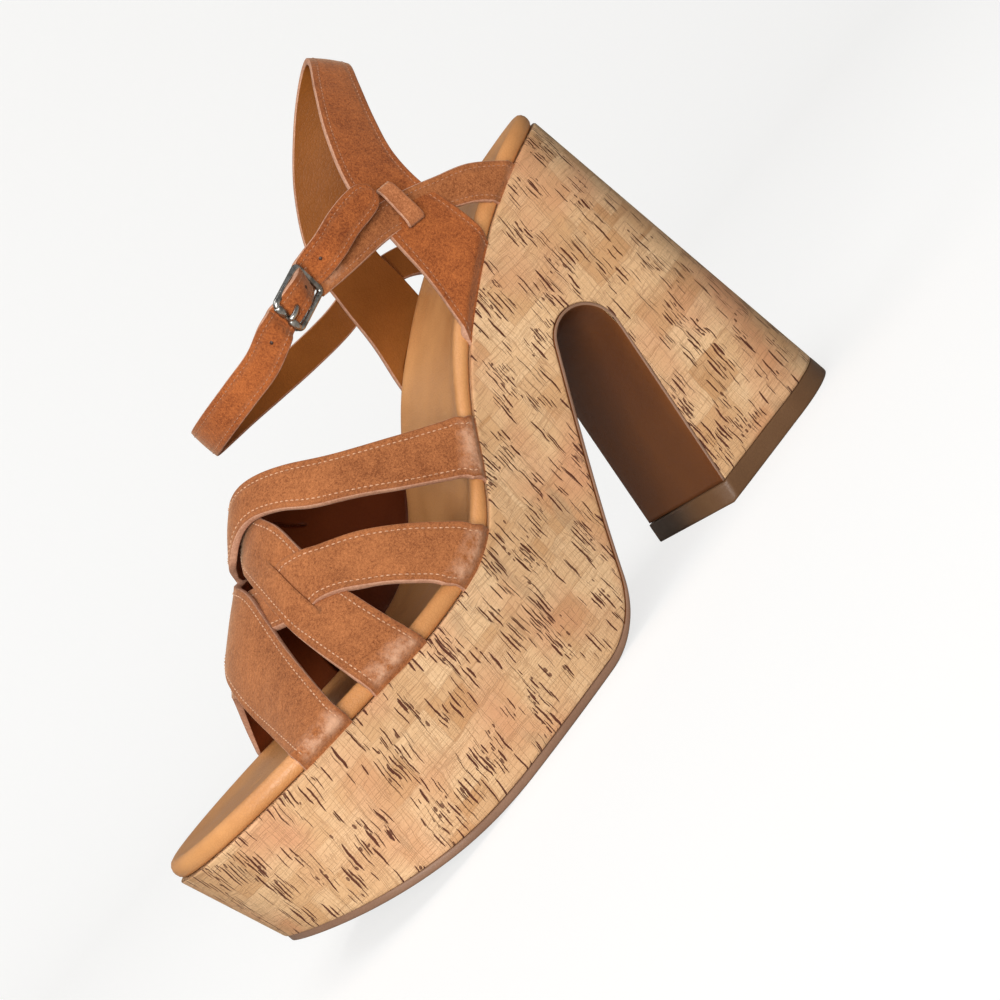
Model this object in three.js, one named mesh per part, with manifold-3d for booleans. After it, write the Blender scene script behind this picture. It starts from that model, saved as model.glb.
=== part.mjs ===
// Platform sandal for the left foot: cork platform with a block heel, tan footbed,
// four woven vamp straps, and an ankle strap set with a buckle.
// Millimetres. +X toe, +Y lateral (outer) side, +Z up. It stands on its heel and ball.

import * as THREE from 'three';
import { mergeVertices } from 'three/addons/utils/BufferGeometryUtils.js';
import Module from 'manifold-3d';

const wasm = await Module();
wasm.setup();

// ---------------------------------------------------------------- driving sizes

const GAP = 0.3; // clearance between pieces that lie on each other

// Plan of the footbed seam, the line where the footbed roll meets the cork.
const HEEL_END = -115;
const HEEL_ROUND_X = -86;
const TOE_ROUND_X = 66;
const TOE_END = 118.7;
const TOE_TIP_Y = -4;
const SEAM_PLAN = [
  { x: HEEL_ROUND_X, lateral: 29.5, medial: -29.5 },
  { x: -60, lateral: 30.8, medial: -30.8 },
  { x: -40, lateral: 31.3, medial: -31.0 },
  { x: -20, lateral: 33.3, medial: -31.5 },
  { x: 0, lateral: 38.3, medial: -34.8 },
  { x: 20, lateral: 42.6, medial: -40.2 },
  { x: 42, lateral: 45.0, medial: -44.4 },
  { x: TOE_ROUND_X, lateral: 45.2, medial: -45.0 },
];

// Height of that seam along the last: heel seat, steep shank, ball and toe.
const SEAM_HEIGHT = [
  { x: HEEL_END, z: 114.9 },
  { x: -94, z: 111.2 },
  { x: -80, z: 107.1 },
  { x: -66, z: 101.6 },
  { x: -50, z: 93.2 },
  { x: -35, z: 83.8 },
  { x: -21, z: 71.6 },
  { x: -10, z: 59.8 },
  { x: 1, z: 50.6 },
  { x: 11, z: 46.2 },
  { x: 22, z: 44.4 },
  { x: 40, z: 43.8 },
  { x: 60, z: 45.0 },
  { x: 84, z: 46.2 },
  { x: TOE_END, z: 47.8 },
];

// Platform: going down, the walls move back and draw in, more at the heel than at the toe.
const WALL_SHIFT = { heel: -5.6, toe: -7.6 };
const WALL_TAPER = { heel: 0.89, toe: 0.975 };
const STEPS = { heel: 7, middle: 14, toe: 9 }; // stations along one side of the outline
const MARGIN = 10; // how far a cutting solid reaches past the sandal
const FLAT_FRONT_X = 46; // toe spring starts here
const TOE_SPRING_RADIUS = 150;
const SOLE_THICK = 2.4;
const ARCH_COVER_THICK = 1.6;
const LIFT_HEIGHT = 6;

// Arch opening, seen from the side.
const BREAST_FOOT_X = -56.8; // front of the heel on the floor
const ARCH_TOP = { x: -63.4, z: 61.0, radius: 10.2 };
const ARCH_SLOPE = 55.4; // steepness of the shank's underside, degrees
const SOLE_CURVE_RADIUS = 30; // where the underside meets the floor
const FLAT_BACK_X = 9;

// Footbed
const FOOTBED_INSET = 0.6;
const ROLL_HEIGHT = 5.6;
const DISH = 1.6;

// Straps
const STRAP_THICK = 2.3;
const STRAP_PROUD = 1.6; // a strap's outer face stands this far outside the seam

// Ridge of the foot form under the vamp straps.
const RIDGE_HEIGHT = [
  { x: -25, z: 135 },
  { x: 0, z: 121.5 },
  { x: 20, z: 110 },
  { x: 30, z: 103.4 },
  { x: 38, z: 97.8 },
  { x: 44, z: 92.4 },
  { x: 50, z: 86.4 },
  { x: 57, z: 81.8 },
  { x: 62, z: 78.4 },
  { x: 66, z: 75.6 },
  { x: 70, z: 72.2 },
  { x: 76, z: 66 },
  { x: 90, z: 54 },
];
const DOME = { round: 1.9, shoulder: 1.15 }; // exponents of the form's cross-section

// Each vamp strap sweeps up from one side and drops down the other.
// across: 1 at the foot of the strap, 0 on the ridge. Columns: x of both edges on the lateral
// side. On the medial side the feet sit further back by MEDIAL_SHIFT.
const REAR_WEAVE = [
  { across: 1.0, sweepBack: -20.1, sweepFront: -8.5, dropBack: 39.6, dropFront: 58.8 },
  { across: 0.88, sweepBack: -7.2, sweepFront: 7.0, dropBack: 40.9, dropFront: 58.4 },
  { across: 0.75, sweepBack: 1.9, sweepFront: 17.4, dropBack: 40.4, dropFront: 57.8 },
  { across: 0.6, sweepBack: 11.2, sweepFront: 25.6, dropBack: 38.4, dropFront: 56.4 },
  { across: 0.4, sweepBack: 19.4, sweepFront: 32.4, dropBack: 35.6, dropFront: 53.4 },
  { across: 0.2, sweepBack: 25.0, sweepFront: 38.2, dropBack: 33.0, dropFront: 49.4 },
  { across: 0.0, sweepBack: 29.4, sweepFront: 43.8, dropBack: 29.4, dropFront: 43.8 },
];
const FRONT_WEAVE = [
  { across: 1.0, sweepBack: 2.5, sweepFront: 20.8, dropBack: 68.1, dropFront: 84.5 },
  { across: 0.92, sweepBack: 14.4, sweepFront: 33.0, dropBack: 67.2, dropFront: 83.8 },
  { across: 0.8, sweepBack: 23.2, sweepFront: 42.2, dropBack: 65.6, dropFront: 82.4 },
  { across: 0.65, sweepBack: 35.0, sweepFront: 49.6, dropBack: 63.0, dropFront: 81.0 },
  { across: 0.45, sweepBack: 43.8, sweepFront: 57.0, dropBack: 59.4, dropFront: 79.0 },
  { across: 0.2, sweepBack: 48.2, sweepFront: 65.0, dropBack: 54.2, dropFront: 75.4 },
  { across: 0.0, sweepBack: 50.6, sweepFront: 70.8, dropBack: 50.6, dropFront: 70.8 },
];

const MEDIAL_SHIFT = { sweep: -6, drop: -13, onset: 0.12 };
const CROSSING_LIFT = 0.9; // how far straps part where they cross on the ridge
const SLIT = { rise: 1.0, over: 0.66, under: 0.42 }; // front sweep over, then under the rear drop

// Quarter and back strap, one half: front and back edge from the seam to the tendon.
const QUARTER = [
  { frontX: -37.4, frontZ: 85.0, frontY: 33.3, backX: -64.4, backZ: 100.6, backY: 32.8 },
  { frontX: -39.6, frontZ: 94.0, frontY: 33.3, backX: -65.0, backZ: 107.0, backY: 32.4 },
  { frontX: -42.8, frontZ: 106.0, frontY: 32.4, backX: -65.2, backZ: 116.0, backY: 30.6 },
  { frontX: -45.2, frontZ: 121.0, frontY: 31.0, backX: -65.0, backZ: 126.2, backY: 28.2 },
  { frontX: -48.6, frontZ: 137.6, frontY: 28.4, backX: -68.2, backZ: 137.4, backY: 23.8 },
  { frontX: -58.6, frontZ: 153.6, frontY: 23.0, backX: -75.0, backZ: 148.4, backY: 18.2 },
  { frontX: -70.8, frontZ: 166.4, frontY: 15.4, backX: -82.8, backZ: 158.8, backY: 12.4 },
  { frontX: -79.8, frontZ: 174.0, frontY: 8.0, backX: -88.4, backZ: 165.0, backY: 6.6 },
  { frontX: -82.8, frontZ: 176.4, frontY: 0, backX: -90.6, backZ: 167.2, backY: 0 },
];
const QUARTER_THICK = 2.2;

// Short ankle strap, from the heel seat to the buckle's middle bar.
const SHORT_STRAP = [
  { x: -84.4, y: 31.7, z: 105.2, width: 12.8 },
  { x: -80.6, y: 31.9, z: 109.6, width: 12.0 },
  { x: -75.0, y: 31.9, z: 114.6, width: 10.8 },
  { x: -67.0, y: 30.8, z: 119.0, width: 9.6 },
  { x: -57.0, y: 30.9, z: 123.2, width: 9.2 },
  { x: -46.0, y: 32.2, z: 126.0, width: 9.0 },
  { x: -32.0, y: 33.2, z: 127.0, width: 9.0 },
  { x: -18.8, y: 34.2, z: 127.6, width: 9.0 },
];

// Long ankle strap: from the inner heel seat round the front of the ankle, through the
// buckle and back to its tip.
const LONG_STRAP = [
  { x: -84.4, y: -31.7, z: 105.2, width: 12.8 },
  { x: -80.6, y: -31.9, z: 109.6, width: 12.0 },
  { x: -75.0, y: -31.9, z: 114.2, width: 10.8 },
  { x: -67.0, y: -30.8, z: 117.6, width: 9.6 },
  { x: -55.0, y: -31.2, z: 119.4, width: 9.6 },
  { x: -40.0, y: -32.6, z: 118.6, width: 9.6 },
  { x: -26.0, y: -32.4, z: 119.2, width: 9.6 },
  { x: -11.0, y: -30.2, z: 120.4, width: 9.6 },
  { x: 2.0, y: -25.6, z: 121.4, width: 9.6 },
  { x: 13.0, y: -18.8, z: 121.8, width: 9.6 },
  { x: 21.0, y: -10.0, z: 121.9, width: 9.6 },
  { x: 24.0, y: 0.0, z: 121.9, width: 9.6 },
  { x: 21.6, y: 10.6, z: 122.2, width: 9.6 },
  { x: 14.4, y: 20.4, z: 122.8, width: 9.6 },
  { x: 6.0, y: 27.8, z: 123.7, width: 9.6 },
];
const LONG_STRAP_TAIL = [
  { x: -28.0, y: 36.4, z: 131.2, width: 9.6 },
  { x: -38.0, y: 35.8, z: 132.5, width: 9.6 },
  { x: -46.6, y: 34.6, z: 132.8, width: 9.5 },
  { x: -50.4, y: 34.0, z: 132.8, width: 7.8 },
  { x: -52.4, y: 33.7, z: 132.8, width: 4.4 },
];
const ANKLE_STRAP_THICK = 1.9;

// Strip of the quarter that holds the crossing strap against it, on each side.
const BRIDGE = {
  x: -55.4, lean: 1.2, y: 32.5, drop: 2.6, width: 5.4, thick: 1.4, reach: 6.6,
  outerZ: 123.4, innerZ: 119.2,
};

// Buckle: a rectangular wire frame with a middle bar, turned down to the front.
const BUCKLE = { x: -11.5, y: 35.4, z: 128.1, turn: 17.7, yaw: 7, length: 15.4, height: 12.4 };
const WIRE = 0.8;
const SLEEVE = { radius: 1.9, half: 4.0 };
const PIN = { radius: 0.6, start: { run: 2.2, out: 2.9 }, end: { run: 8.6, out: 1.5 } };

// ---------------------------------------------------------------- tables and curves

// Smooth curve through a table's column, read at a value of its key column.
function along(rows, key, column, at) {
  const rising = rows[rows.length - 1][key] > rows[0][key];
  const list = rising ? rows : [...rows].reverse();
  const last = list.length - 1;
  const held = THREE.MathUtils.clamp(at, list[0][key], list[last][key]);
  let i = 0;
  while (i < last - 1 && held > list[i + 1][key]) i += 1;
  const slope = (k) => {
    const a = list[Math.max(k - 1, 0)];
    const b = list[Math.min(k + 1, last)];
    return (b[column] - a[column]) / (b[key] - a[key]);
  };
  const span = list[i + 1][key] - list[i][key];
  const t = (held - list[i][key]) / span;
  const rise = list[i + 1][column] - list[i][column];
  const bend = (1 - t) * (slope(i) * span - rise) - t * (slope(i + 1) * span - rise);
  return list[i][column] + t * rise + t * (1 - t) * bend;
}

// Seam plan with rounded heel and toe: y of one side at x.
function seamY(x, side) {
  const column = side > 0 ? 'lateral' : 'medial';
  if (x < HEEL_ROUND_X) {
    const t = Math.min((HEEL_ROUND_X - x) / (HEEL_ROUND_X - HEEL_END), 1);
    return SEAM_PLAN[0][column] * Math.sqrt(1 - t * t);
  }
  if (x > TOE_ROUND_X) {
    const t = Math.min((x - TOE_ROUND_X) / (TOE_END - TOE_ROUND_X), 1);
    const widest = SEAM_PLAN[SEAM_PLAN.length - 1][column];
    return TOE_TIP_Y + (widest - TOE_TIP_Y) * Math.sqrt(1 - t * t);
  }
  return along(SEAM_PLAN, 'x', column, x);
}

const seamZ = (x) => along(SEAM_HEIGHT, 'x', 'z', x);

// Underside of the sole: flat, then an arc up to the toe.
function floorZ(x) {
  const run = Math.max(x - FLAT_FRONT_X, 0);
  return TOE_SPRING_RADIUS - Math.sqrt(TOE_SPRING_RADIUS ** 2 - run ** 2);
}

// Stations along the seam, close together where heel and toe are round.
function stations() {
  const list = [];
  for (let i = 0; i < STEPS.heel; i += 1) {
    const turn = (i / STEPS.heel) * (Math.PI / 2);
    list.push(HEEL_ROUND_X - (HEEL_ROUND_X - HEEL_END) * Math.cos(turn));
  }
  for (let i = 0; i < STEPS.middle; i += 1) {
    list.push(HEEL_ROUND_X + ((TOE_ROUND_X - HEEL_ROUND_X) * i) / STEPS.middle);
  }
  for (let i = 0; i <= STEPS.toe; i += 1) {
    const turn = (i / STEPS.toe) * (Math.PI / 2);
    list.push(TOE_ROUND_X + (TOE_END - TOE_ROUND_X) * Math.sin(turn));
  }
  return list;
}

// Closed loop round the seam: lateral side from heel to toe, medial side back again.
function seamLoop() {
  const xs = stations();
  const lateral = xs.map((x) => ({ x, y: seamY(x, 1) }));
  const medial = xs.slice(1, -1).reverse().map((x) => ({ x, y: seamY(x, -1) }));
  return [...lateral, ...medial];
}

// The same loop moved inwards by a distance, square to its outline.
function insetLoop(loop, distance) {
  return loop.map((point, i) => {
    const before = loop[(i + loop.length - 1) % loop.length];
    const after = loop[(i + 1) % loop.length];
    const run = Math.hypot(after.x - before.x, after.y - before.y);
    const x = point.x + ((after.y - before.y) / run) * distance;
    const y = point.y - ((after.x - before.x) / run) * distance;
    return { x, y };
  });
}

// ---------------------------------------------------------------- solids

// A closed solid from numbered points and triangles, turned so that its faces point out.
function closedSolid(points, triangles) {
  const geometry = new THREE.BufferGeometry();
  geometry.setAttribute('position', new THREE.Float32BufferAttribute(points.flat(), 3));
  geometry.setIndex(triangles);
  const merged = mergeVertices(geometry, 1e-4);
  const position = merged.getAttribute('position').array;
  const source = merged.getIndex().array;
  const kept = [];
  let volume = 0;
  for (let i = 0; i < source.length; i += 3) {
    const [a, b, c] = [source[i], source[i + 1], source[i + 2]];
    if (a === b || b === c || c === a) continue;
    kept.push(a, b, c);
    const [p, q, r] = [a, b, c].map((k) => new THREE.Vector3().fromArray(position, k * 3));
    volume += p.dot(q.cross(r));
  }
  if (volume < 0) kept.reverse();
  const triVerts = new Uint32Array(kept);
  return new wasm.Manifold(new wasm.Mesh({ numProp: 3, vertProperties: position, triVerts }));
}

// A solid from a three.js geometry.
function solidOf(geometry) {
  const bare = geometry.clone();
  bare.deleteAttribute('normal');
  bare.deleteAttribute('uv');
  const merged = mergeVertices(bare, 1e-4);
  const position = merged.getAttribute('position').array;
  const triVerts = new Uint32Array(merged.getIndex().array);
  return new wasm.Manifold(new wasm.Mesh({ numProp: 3, vertProperties: position, triVerts }));
}

// Rings of equal length joined one to the next. The two end rings are closed by caps.
function ringSolid(rings) {
  const size = rings[0].length;
  const triangles = [];
  for (let r = 0; r < rings.length - 1; r += 1) {
    for (let i = 0; i < size; i += 1) {
      const a = r * size + i;
      const b = r * size + ((i + 1) % size);
      triangles.push(a, b, b + size, a, b + size, a + size);
    }
  }
  for (let i = 1; i < size - 1; i += 1) {
    const end = (rings.length - 1) * size;
    triangles.push(0, i + 1, i, end, end + i, end + i + 1);
  }
  return closedSolid(rings.flat(), triangles);
}

// Loops round the seam stacked on each other. The first and last loops are drawn
// together on the middle line, which closes the solid.
function stackSolid(loops) {
  const size = loops[0].length;
  const half = size / 2;
  const zipped = (loop) => loop.map((point, i) => {
    const mate = loop[(size - i) % size];
    return i % half === 0 ? point : point.map((value, k) => (value + mate[k]) / 2);
  });
  const full = [zipped(loops[0]), ...loops, zipped(loops[loops.length - 1])];
  const triangles = [];
  for (let r = 0; r < full.length - 1; r += 1) {
    for (let i = 0; i < size; i += 1) {
      const a = r * size + i;
      const b = r * size + ((i + 1) % size);
      triangles.push(a, b, b + size, a, b + size, a + size);
    }
  }
  return closedSolid(full.flat(), triangles);
}

// A prism across the sandal from an outline in x and z.
function prism(outline) {
  const shape = new THREE.Shape(outline.map(([x, z]) => new THREE.Vector2(x, z)));
  const geometry = new THREE.ExtrudeGeometry(shape, { depth: 140, bevelEnabled: false });
  geometry.rotateX(Math.PI / 2);
  geometry.translate(0, 70, 0);
  return solidOf(geometry);
}

function meshOf(name, solid, look) {
  const data = solid.getMesh();
  const geometry = new THREE.BufferGeometry();
  geometry.setAttribute('position', new THREE.BufferAttribute(data.vertProperties, 3));
  geometry.setIndex(new THREE.BufferAttribute(data.triVerts, 1));
  geometry.computeVertexNormals();
  const mesh = new THREE.Mesh(geometry, new THREE.MeshStandardMaterial(look));
  mesh.name = name;
  return mesh;
}

// ---------------------------------------------------------------- platform and sole

// The whole block under the footbed, from the seam to the floor.
function platformBlock() {
  const loop = seamLoop();
  const top = loop.map(({ x, y }) => [x, y, seamZ(x)]);
  const bottom = loop.map(({ x, y }) => {
    const part = (x - HEEL_END) / (TOE_END - HEEL_END);
    const floorX = x + THREE.MathUtils.lerp(WALL_SHIFT.heel, WALL_SHIFT.toe, part);
    const taper = THREE.MathUtils.lerp(WALL_TAPER.heel, WALL_TAPER.toe, part);
    return [floorX, y * taper, floorZ(floorX)];
  });
  return stackSolid([bottom, top]);
}

// Everything below the seam line, wider than the platform. It trims the feet of the straps.
function belowSeam() {
  const wide = insetLoop(seamLoop(), -MARGIN / 2);
  return stackSolid([
    wide.map(({ x, y }) => [x, y, -MARGIN]),
    wide.map(({ x, y }) => [x, y, seamZ(x) + GAP]),
  ]);
}

// Side line of the forefoot's underside, from the toe to the flat, lifted by a thickness.
function soleLine(lift) {
  const front = TOE_END + MARGIN;
  const steps = 13;
  const line = [];
  for (let i = 0; i <= steps; i += 1) {
    const x = front - ((front - FLAT_FRONT_X) * i) / steps;
    line.push([x, floorZ(x) + lift]);
  }
  return line;
}

// Lean of the heel breast, from its foot to the back of the arch's round top.
const breastLean = Math.atan2(ARCH_TOP.z, BREAST_FOOT_X - ARCH_TOP.x + ARCH_TOP.radius);

// Side line of the arch from the floor over the top and down the heel breast.
// A positive cover moves it into the cork.
function archLine(cover, soleCover) {
  const slope = THREE.MathUtils.degToRad(ARCH_SLOPE);
  const line = [];
  for (let i = 0; i <= 6; i += 1) {
    const turn = (slope * i) / 6;
    const radius = SOLE_CURVE_RADIUS - THREE.MathUtils.lerp(soleCover, cover, i / 6);
    line.push([FLAT_BACK_X - radius * Math.sin(turn), SOLE_CURVE_RADIUS - radius * Math.cos(turn)]);
  }
  const radius = ARCH_TOP.radius + cover;
  const startTurn = Math.PI / 2 - slope;
  const endTurn = Math.PI + (Math.PI / 2 - breastLean);
  for (let i = 0; i <= 9; i += 1) {
    const turn = THREE.MathUtils.lerp(startTurn, endTurn, i / 9);
    line.push([ARCH_TOP.x + radius * Math.cos(turn), ARCH_TOP.z + radius * Math.sin(turn)]);
  }
  const [lastX, lastZ] = line[line.length - 1];
  line.push([lastX + lastZ / Math.tan(breastLean), 0]);
  return line;
}

// A prism behind a given front, from below the floor to the top of the lift.
function heelSlice(front, top) {
  const back = HEEL_END - 2 * MARGIN;
  return prism([[back, -MARGIN], [front, -MARGIN], [front, top], [back, top]]);
}

// Everything under the cork: below the sole line, the arch line and inside the arch.
function underCork(thicker) {
  const over = [
    ...soleLine(SOLE_THICK + thicker),
    ...archLine(ARCH_COVER_THICK + thicker, SOLE_THICK + thicker),
  ];
  const [reach] = over[over.length - 1];
  return prism([...over, [reach, -MARGIN], [TOE_END + MARGIN, -MARGIN]]);
}

// The sole strip under the forefoot and the arch cover, which runs down the heel breast.
function outsole(block) {
  const opening = prism([...archLine(0, 0), [BREAST_FOOT_X, -MARGIN], [FLAT_BACK_X, -MARGIN]]);
  return block
    .intersect(underCork(0))
    .subtract(opening)
    .subtract(heelSlice(BREAST_FOOT_X + MARGIN, LIFT_HEIGHT + GAP));
}

function corkPlatform(block) {
  return block
    .subtract(underCork(GAP))
    .subtract(heelSlice(BREAST_FOOT_X + MARGIN, LIFT_HEIGHT + GAP));
}

// The walking layer of the heel, its front in line with the breast.
function topLift(block) {
  const topFront = BREAST_FOOT_X - LIFT_HEIGHT / Math.tan(breastLean);
  const back = HEEL_END - 2 * MARGIN;
  const outline = [[back, -MARGIN], [BREAST_FOOT_X, -MARGIN], [BREAST_FOOT_X, 0]];
  return block.intersect(prism([...outline, [topFront, LIFT_HEIGHT], [back, LIFT_HEIGHT]]));
}

// ---------------------------------------------------------------- footbed

// A padded board with a rolled edge, slightly dished, cut level with the top of the cork.
function footbed() {
  const loop = insetLoop(seamLoop(), FOOTBED_INSET);
  const profile = [
    { inset: 1.8, lift: -0.4 },
    { inset: 0.3, lift: 1.2 },
    { inset: 0.0, lift: 2.9 },
    { inset: 0.7, lift: 4.6 },
    { inset: 2.4, lift: ROLL_HEIGHT },
    { inset: 5.0, lift: ROLL_HEIGHT - 0.5 * DISH },
    { inset: 12.0, lift: ROLL_HEIGHT - DISH },
  ];
  return stackSolid(profile.map(({ inset, lift }) => (
    insetLoop(loop, inset).map(({ x, y }) => [x, y, seamZ(x) + lift])
  ))).subtract(belowSeam());
}

// ---------------------------------------------------------------- vamp

// Point on the outer face of the straps. across runs from 1 on the ridge's lateral foot
// over 0 to -1; a stretch at each foot stands upright beside the footbed roll.
function formPoint(x, across, lift) {
  const side = Math.sign(across) || 1;
  const middle = (seamY(x, 1) + seamY(x, -1)) / 2;
  const half = (seamY(x, 1) - seamY(x, -1)) / 2 + STRAP_PROUD + lift;
  const foot = seamZ(x) + ROLL_HEIGHT;
  const reach = Math.min(Math.abs(across), 1);
  const arch = (1 - reach ** DOME.round) ** (1 / DOME.shoulder);
  const ridge = along(RIDGE_HEIGHT, 'x', 'z', x) + lift;
  return new THREE.Vector3(x, middle + side * half * reach, foot + (ridge - foot) * arch);
}

// One strap: rings across its width, from the lateral seam to the medial seam.
function vampStrap(table, sweepSide, layer) {
  const rings = [];
  const rows = 30;
  const columns = 3;
  const edgeX = (across, part) => {
    const kind = Math.sign(across || 1) === sweepSide ? 'sweep' : 'drop';
    const back = along(table, 'across', `${kind}Back`, Math.abs(across));
    const front = along(table, 'across', `${kind}Front`, Math.abs(across));
    const onset = (across ** 2 * (1 + MEDIAL_SHIFT.onset)) / (across ** 2 + MEDIAL_SHIFT.onset);
    const shift = across < 0 ? MEDIAL_SHIFT[kind] * onset : 0;
    return THREE.MathUtils.lerp(back, front, part) + shift;
  };
  const surface = (across, part) => formPoint(edgeX(across, part), across, layer(across * sweepSide));
  const step = 1e-3;
  for (let r = -1; r <= rows + 1; r += 1) {
    const across = THREE.MathUtils.clamp(1 - (2 * r) / rows, -1, 1);
    const atFoot = r < 0 || r > rows;
    const outer = [];
    const inner = [];
    for (let c = 0; c < columns; c += 1) {
      const part = c / (columns - 1);
      const held = THREE.MathUtils.clamp(across, -1 + step, 1 - step);
      const point = surface(across, part);
      const alongStrap = surface(held - step, part).sub(surface(held + step, part));
      const acrossStrap = surface(held, part + step).sub(surface(held, part - step));
      const normal = acrossStrap.cross(alongStrap).normalize();
      if (Math.abs(across) === 1) normal.set(0, across, 0);
      const drop = atFoot ? seamZ(point.x) + GAP - point.z : 0;
      point.z += drop;
      outer.push(point.toArray());
      inner.push(point.clone().addScaledVector(normal, -STRAP_THICK).toArray());
    }
    rings.push([...outer, ...inner.reverse()]);
  }
  return ringSolid(rings);
}

// Smooth bump used to lift a strap over the one that it crosses.
const bump = (value, centre, width) => Math.exp(-(((value - centre) / width) ** 2));

function vampStraps() {
  const overTop = (across) => CROSSING_LIFT * bump(across, 0, 0.25);
  const underTop = (across) => -overTop(across);
  const threaded = (across) => (
    SLIT.rise * (bump(across, SLIT.over, 0.08) - bump(across, SLIT.under, 0.09))
  );
  return vampStrap(REAR_WEAVE, 1, overTop)
    .add(vampStrap(REAR_WEAVE, -1, underTop))
    .add(vampStrap(FRONT_WEAVE, 1, (across) => threaded(across) + underTop(across)))
    .add(vampStrap(FRONT_WEAVE, -1, (across) => threaded(across) + overTop(across)));
}

// ---------------------------------------------------------------- ankle straps

// Flat strap along a smooth line through its rows, standing upright.
function ribbon(rows, thickness, steps) {
  const line = new THREE.CatmullRomCurve3(rows.map(({ x, y, z }) => new THREE.Vector3(x, y, z)));
  const widths = new THREE.CatmullRomCurve3(rows.map(({ width }, i) => new THREE.Vector3(i, width, 0)));
  const rings = [];
  for (let i = 0; i <= steps; i += 1) {
    const centre = line.getPoint(i / steps);
    const tangent = line.getTangent(i / steps);
    const outward = new THREE.Vector3(tangent.y, -tangent.x, 0).normalize();
    const up = new THREE.Vector3().crossVectors(outward, tangent).normalize();
    const half = widths.getPoint(i / steps).y / 2;
    const corner = (across, depth) => centre.clone()
      .addScaledVector(up, across * half)
      .addScaledVector(outward, (depth * thickness) / 2)
      .toArray();
    rings.push([corner(1, 1), corner(-1, 1), corner(-1, -1), corner(1, -1)]);
  }
  return ringSolid(rings);
}

// Both quarters and the strap behind the tendon, as one band from seam to seam.
function quarterBand() {
  const half = QUARTER.map((row) => ({
    front: new THREE.Vector3(row.frontX, row.frontY, row.frontZ),
    back: new THREE.Vector3(row.backX, row.backY, row.backZ),
  }));
  const mirrored = half.slice(0, -1).reverse().map(({ front, back }) => ({
    front: front.clone().multiply(new THREE.Vector3(1, -1, 1)),
    back: back.clone().multiply(new THREE.Vector3(1, -1, 1)),
  }));
  const all = [...half, ...mirrored];
  const front = new THREE.CatmullRomCurve3(all.map((row) => row.front));
  const back = new THREE.CatmullRomCurve3(all.map((row) => row.back));
  const steps = 44;
  const rings = [];
  for (let i = 0; i <= steps; i += 1) {
    const t = i / steps;
    const [a, b] = [front.getPoint(t), back.getPoint(t)];
    const tangent = front.getTangent(t).add(back.getTangent(t));
    const normal = new THREE.Vector3().crossVectors(b.clone().sub(a), tangent).normalize();
    const inward = (point) => point.clone().addScaledVector(normal, -QUARTER_THICK).toArray();
    const middle = a.clone().lerp(b, 0.5).addScaledVector(normal, 0.3);
    rings.push([a, middle, b].map((p) => p.toArray()).concat([b, middle, a].map(inward)));
  }
  return ringSolid(rings);
}

// Placement of the buckle: its length along the strap, its height across it.
const bucklePlace = new THREE.Matrix4().compose(
  new THREE.Vector3(BUCKLE.x, BUCKLE.y, BUCKLE.z),
  new THREE.Quaternion().setFromEuler(new THREE.Euler(
    0,
    THREE.MathUtils.degToRad(BUCKLE.turn),
    THREE.MathUtils.degToRad(-BUCKLE.yaw),
    'ZYX',
  )),
  new THREE.Vector3(1, 1, 1),
);
const atBuckle = (run, out, up) => new THREE.Vector3(run, out, up).applyMatrix4(bucklePlace);

// The strap waves under the front bar, over the middle bar and under the rear bar.
function buckleWave() {
  const wave = [
    { run: 11.4, out: -2.0 },
    { run: 7.4, out: -2.3 },
    { run: 4.0, out: 0.6 },
    { run: 0.0, out: 3.1 },
    { run: -4.0, out: 0.8 },
    { run: -7.4, out: -1.9 },
    { run: -11.4, out: -0.4 },
  ];
  return wave.map(({ run, out }) => {
    const point = atBuckle(run, out, 0);
    return { x: point.x, y: point.y, z: point.z, width: 9.8 };
  });
}

function bar(length, radius, from, direction) {
  const geometry = new THREE.CylinderGeometry(radius, radius, length, 10);
  const turned = new THREE.Quaternion().setFromUnitVectors(new THREE.Vector3(0, 1, 0), direction);
  geometry.applyQuaternion(turned);
  geometry.translate(...from.clone().addScaledVector(direction, length / 2).toArray());
  geometry.applyMatrix4(bucklePlace);
  return solidOf(geometry);
}

// Rectangular frame of round wire with rounded corners, and its middle bar.
function buckleFrame(wire) {
  const [halfLength, halfHeight, corner] = [BUCKLE.length / 2 - WIRE, BUCKLE.height / 2 - WIRE, 1.8];
  const shape = (grow) => {
    const [l, h, c] = [halfLength + grow, halfHeight + grow, corner + grow];
    const outline = new THREE.Shape();
    outline.moveTo(l - c, h);
    outline.absarc(-l + c, h - c, c, Math.PI / 2, Math.PI, false);
    outline.absarc(-l + c, -h + c, c, Math.PI, 1.5 * Math.PI, false);
    outline.absarc(l - c, -h + c, c, 1.5 * Math.PI, 2 * Math.PI, false);
    outline.absarc(l - c, h - c, c, 0, Math.PI / 2, false);
    return outline;
  };
  const outline = shape(wire * 0.55);
  outline.holes.push(shape(-wire * 0.55));
  const bevel = wire * 0.45;
  const geometry = new THREE.ExtrudeGeometry(outline, {
    depth: 2 * (wire - bevel), bevelThickness: bevel, bevelSize: bevel, bevelSegments: 1, curveSegments: 3,
  });
  geometry.translate(0, 0, -(wire - bevel));
  geometry.rotateX(Math.PI / 2);
  geometry.applyMatrix4(bucklePlace);
  const down = new THREE.Vector3(0, 0, -1);
  return solidOf(geometry).add(bar(2 * halfHeight, wire, new THREE.Vector3(0, 0, halfHeight), down));
}

// The pin comes up through the strap and rests on the front bar.
function bucklePin(radius) {
  const start = new THREE.Vector3(PIN.start.run, PIN.start.out, 0);
  const end = new THREE.Vector3(PIN.end.run, PIN.end.out, 0);
  const direction = end.clone().sub(start);
  return bar(direction.length(), radius, start, direction.normalize());
}

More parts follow.
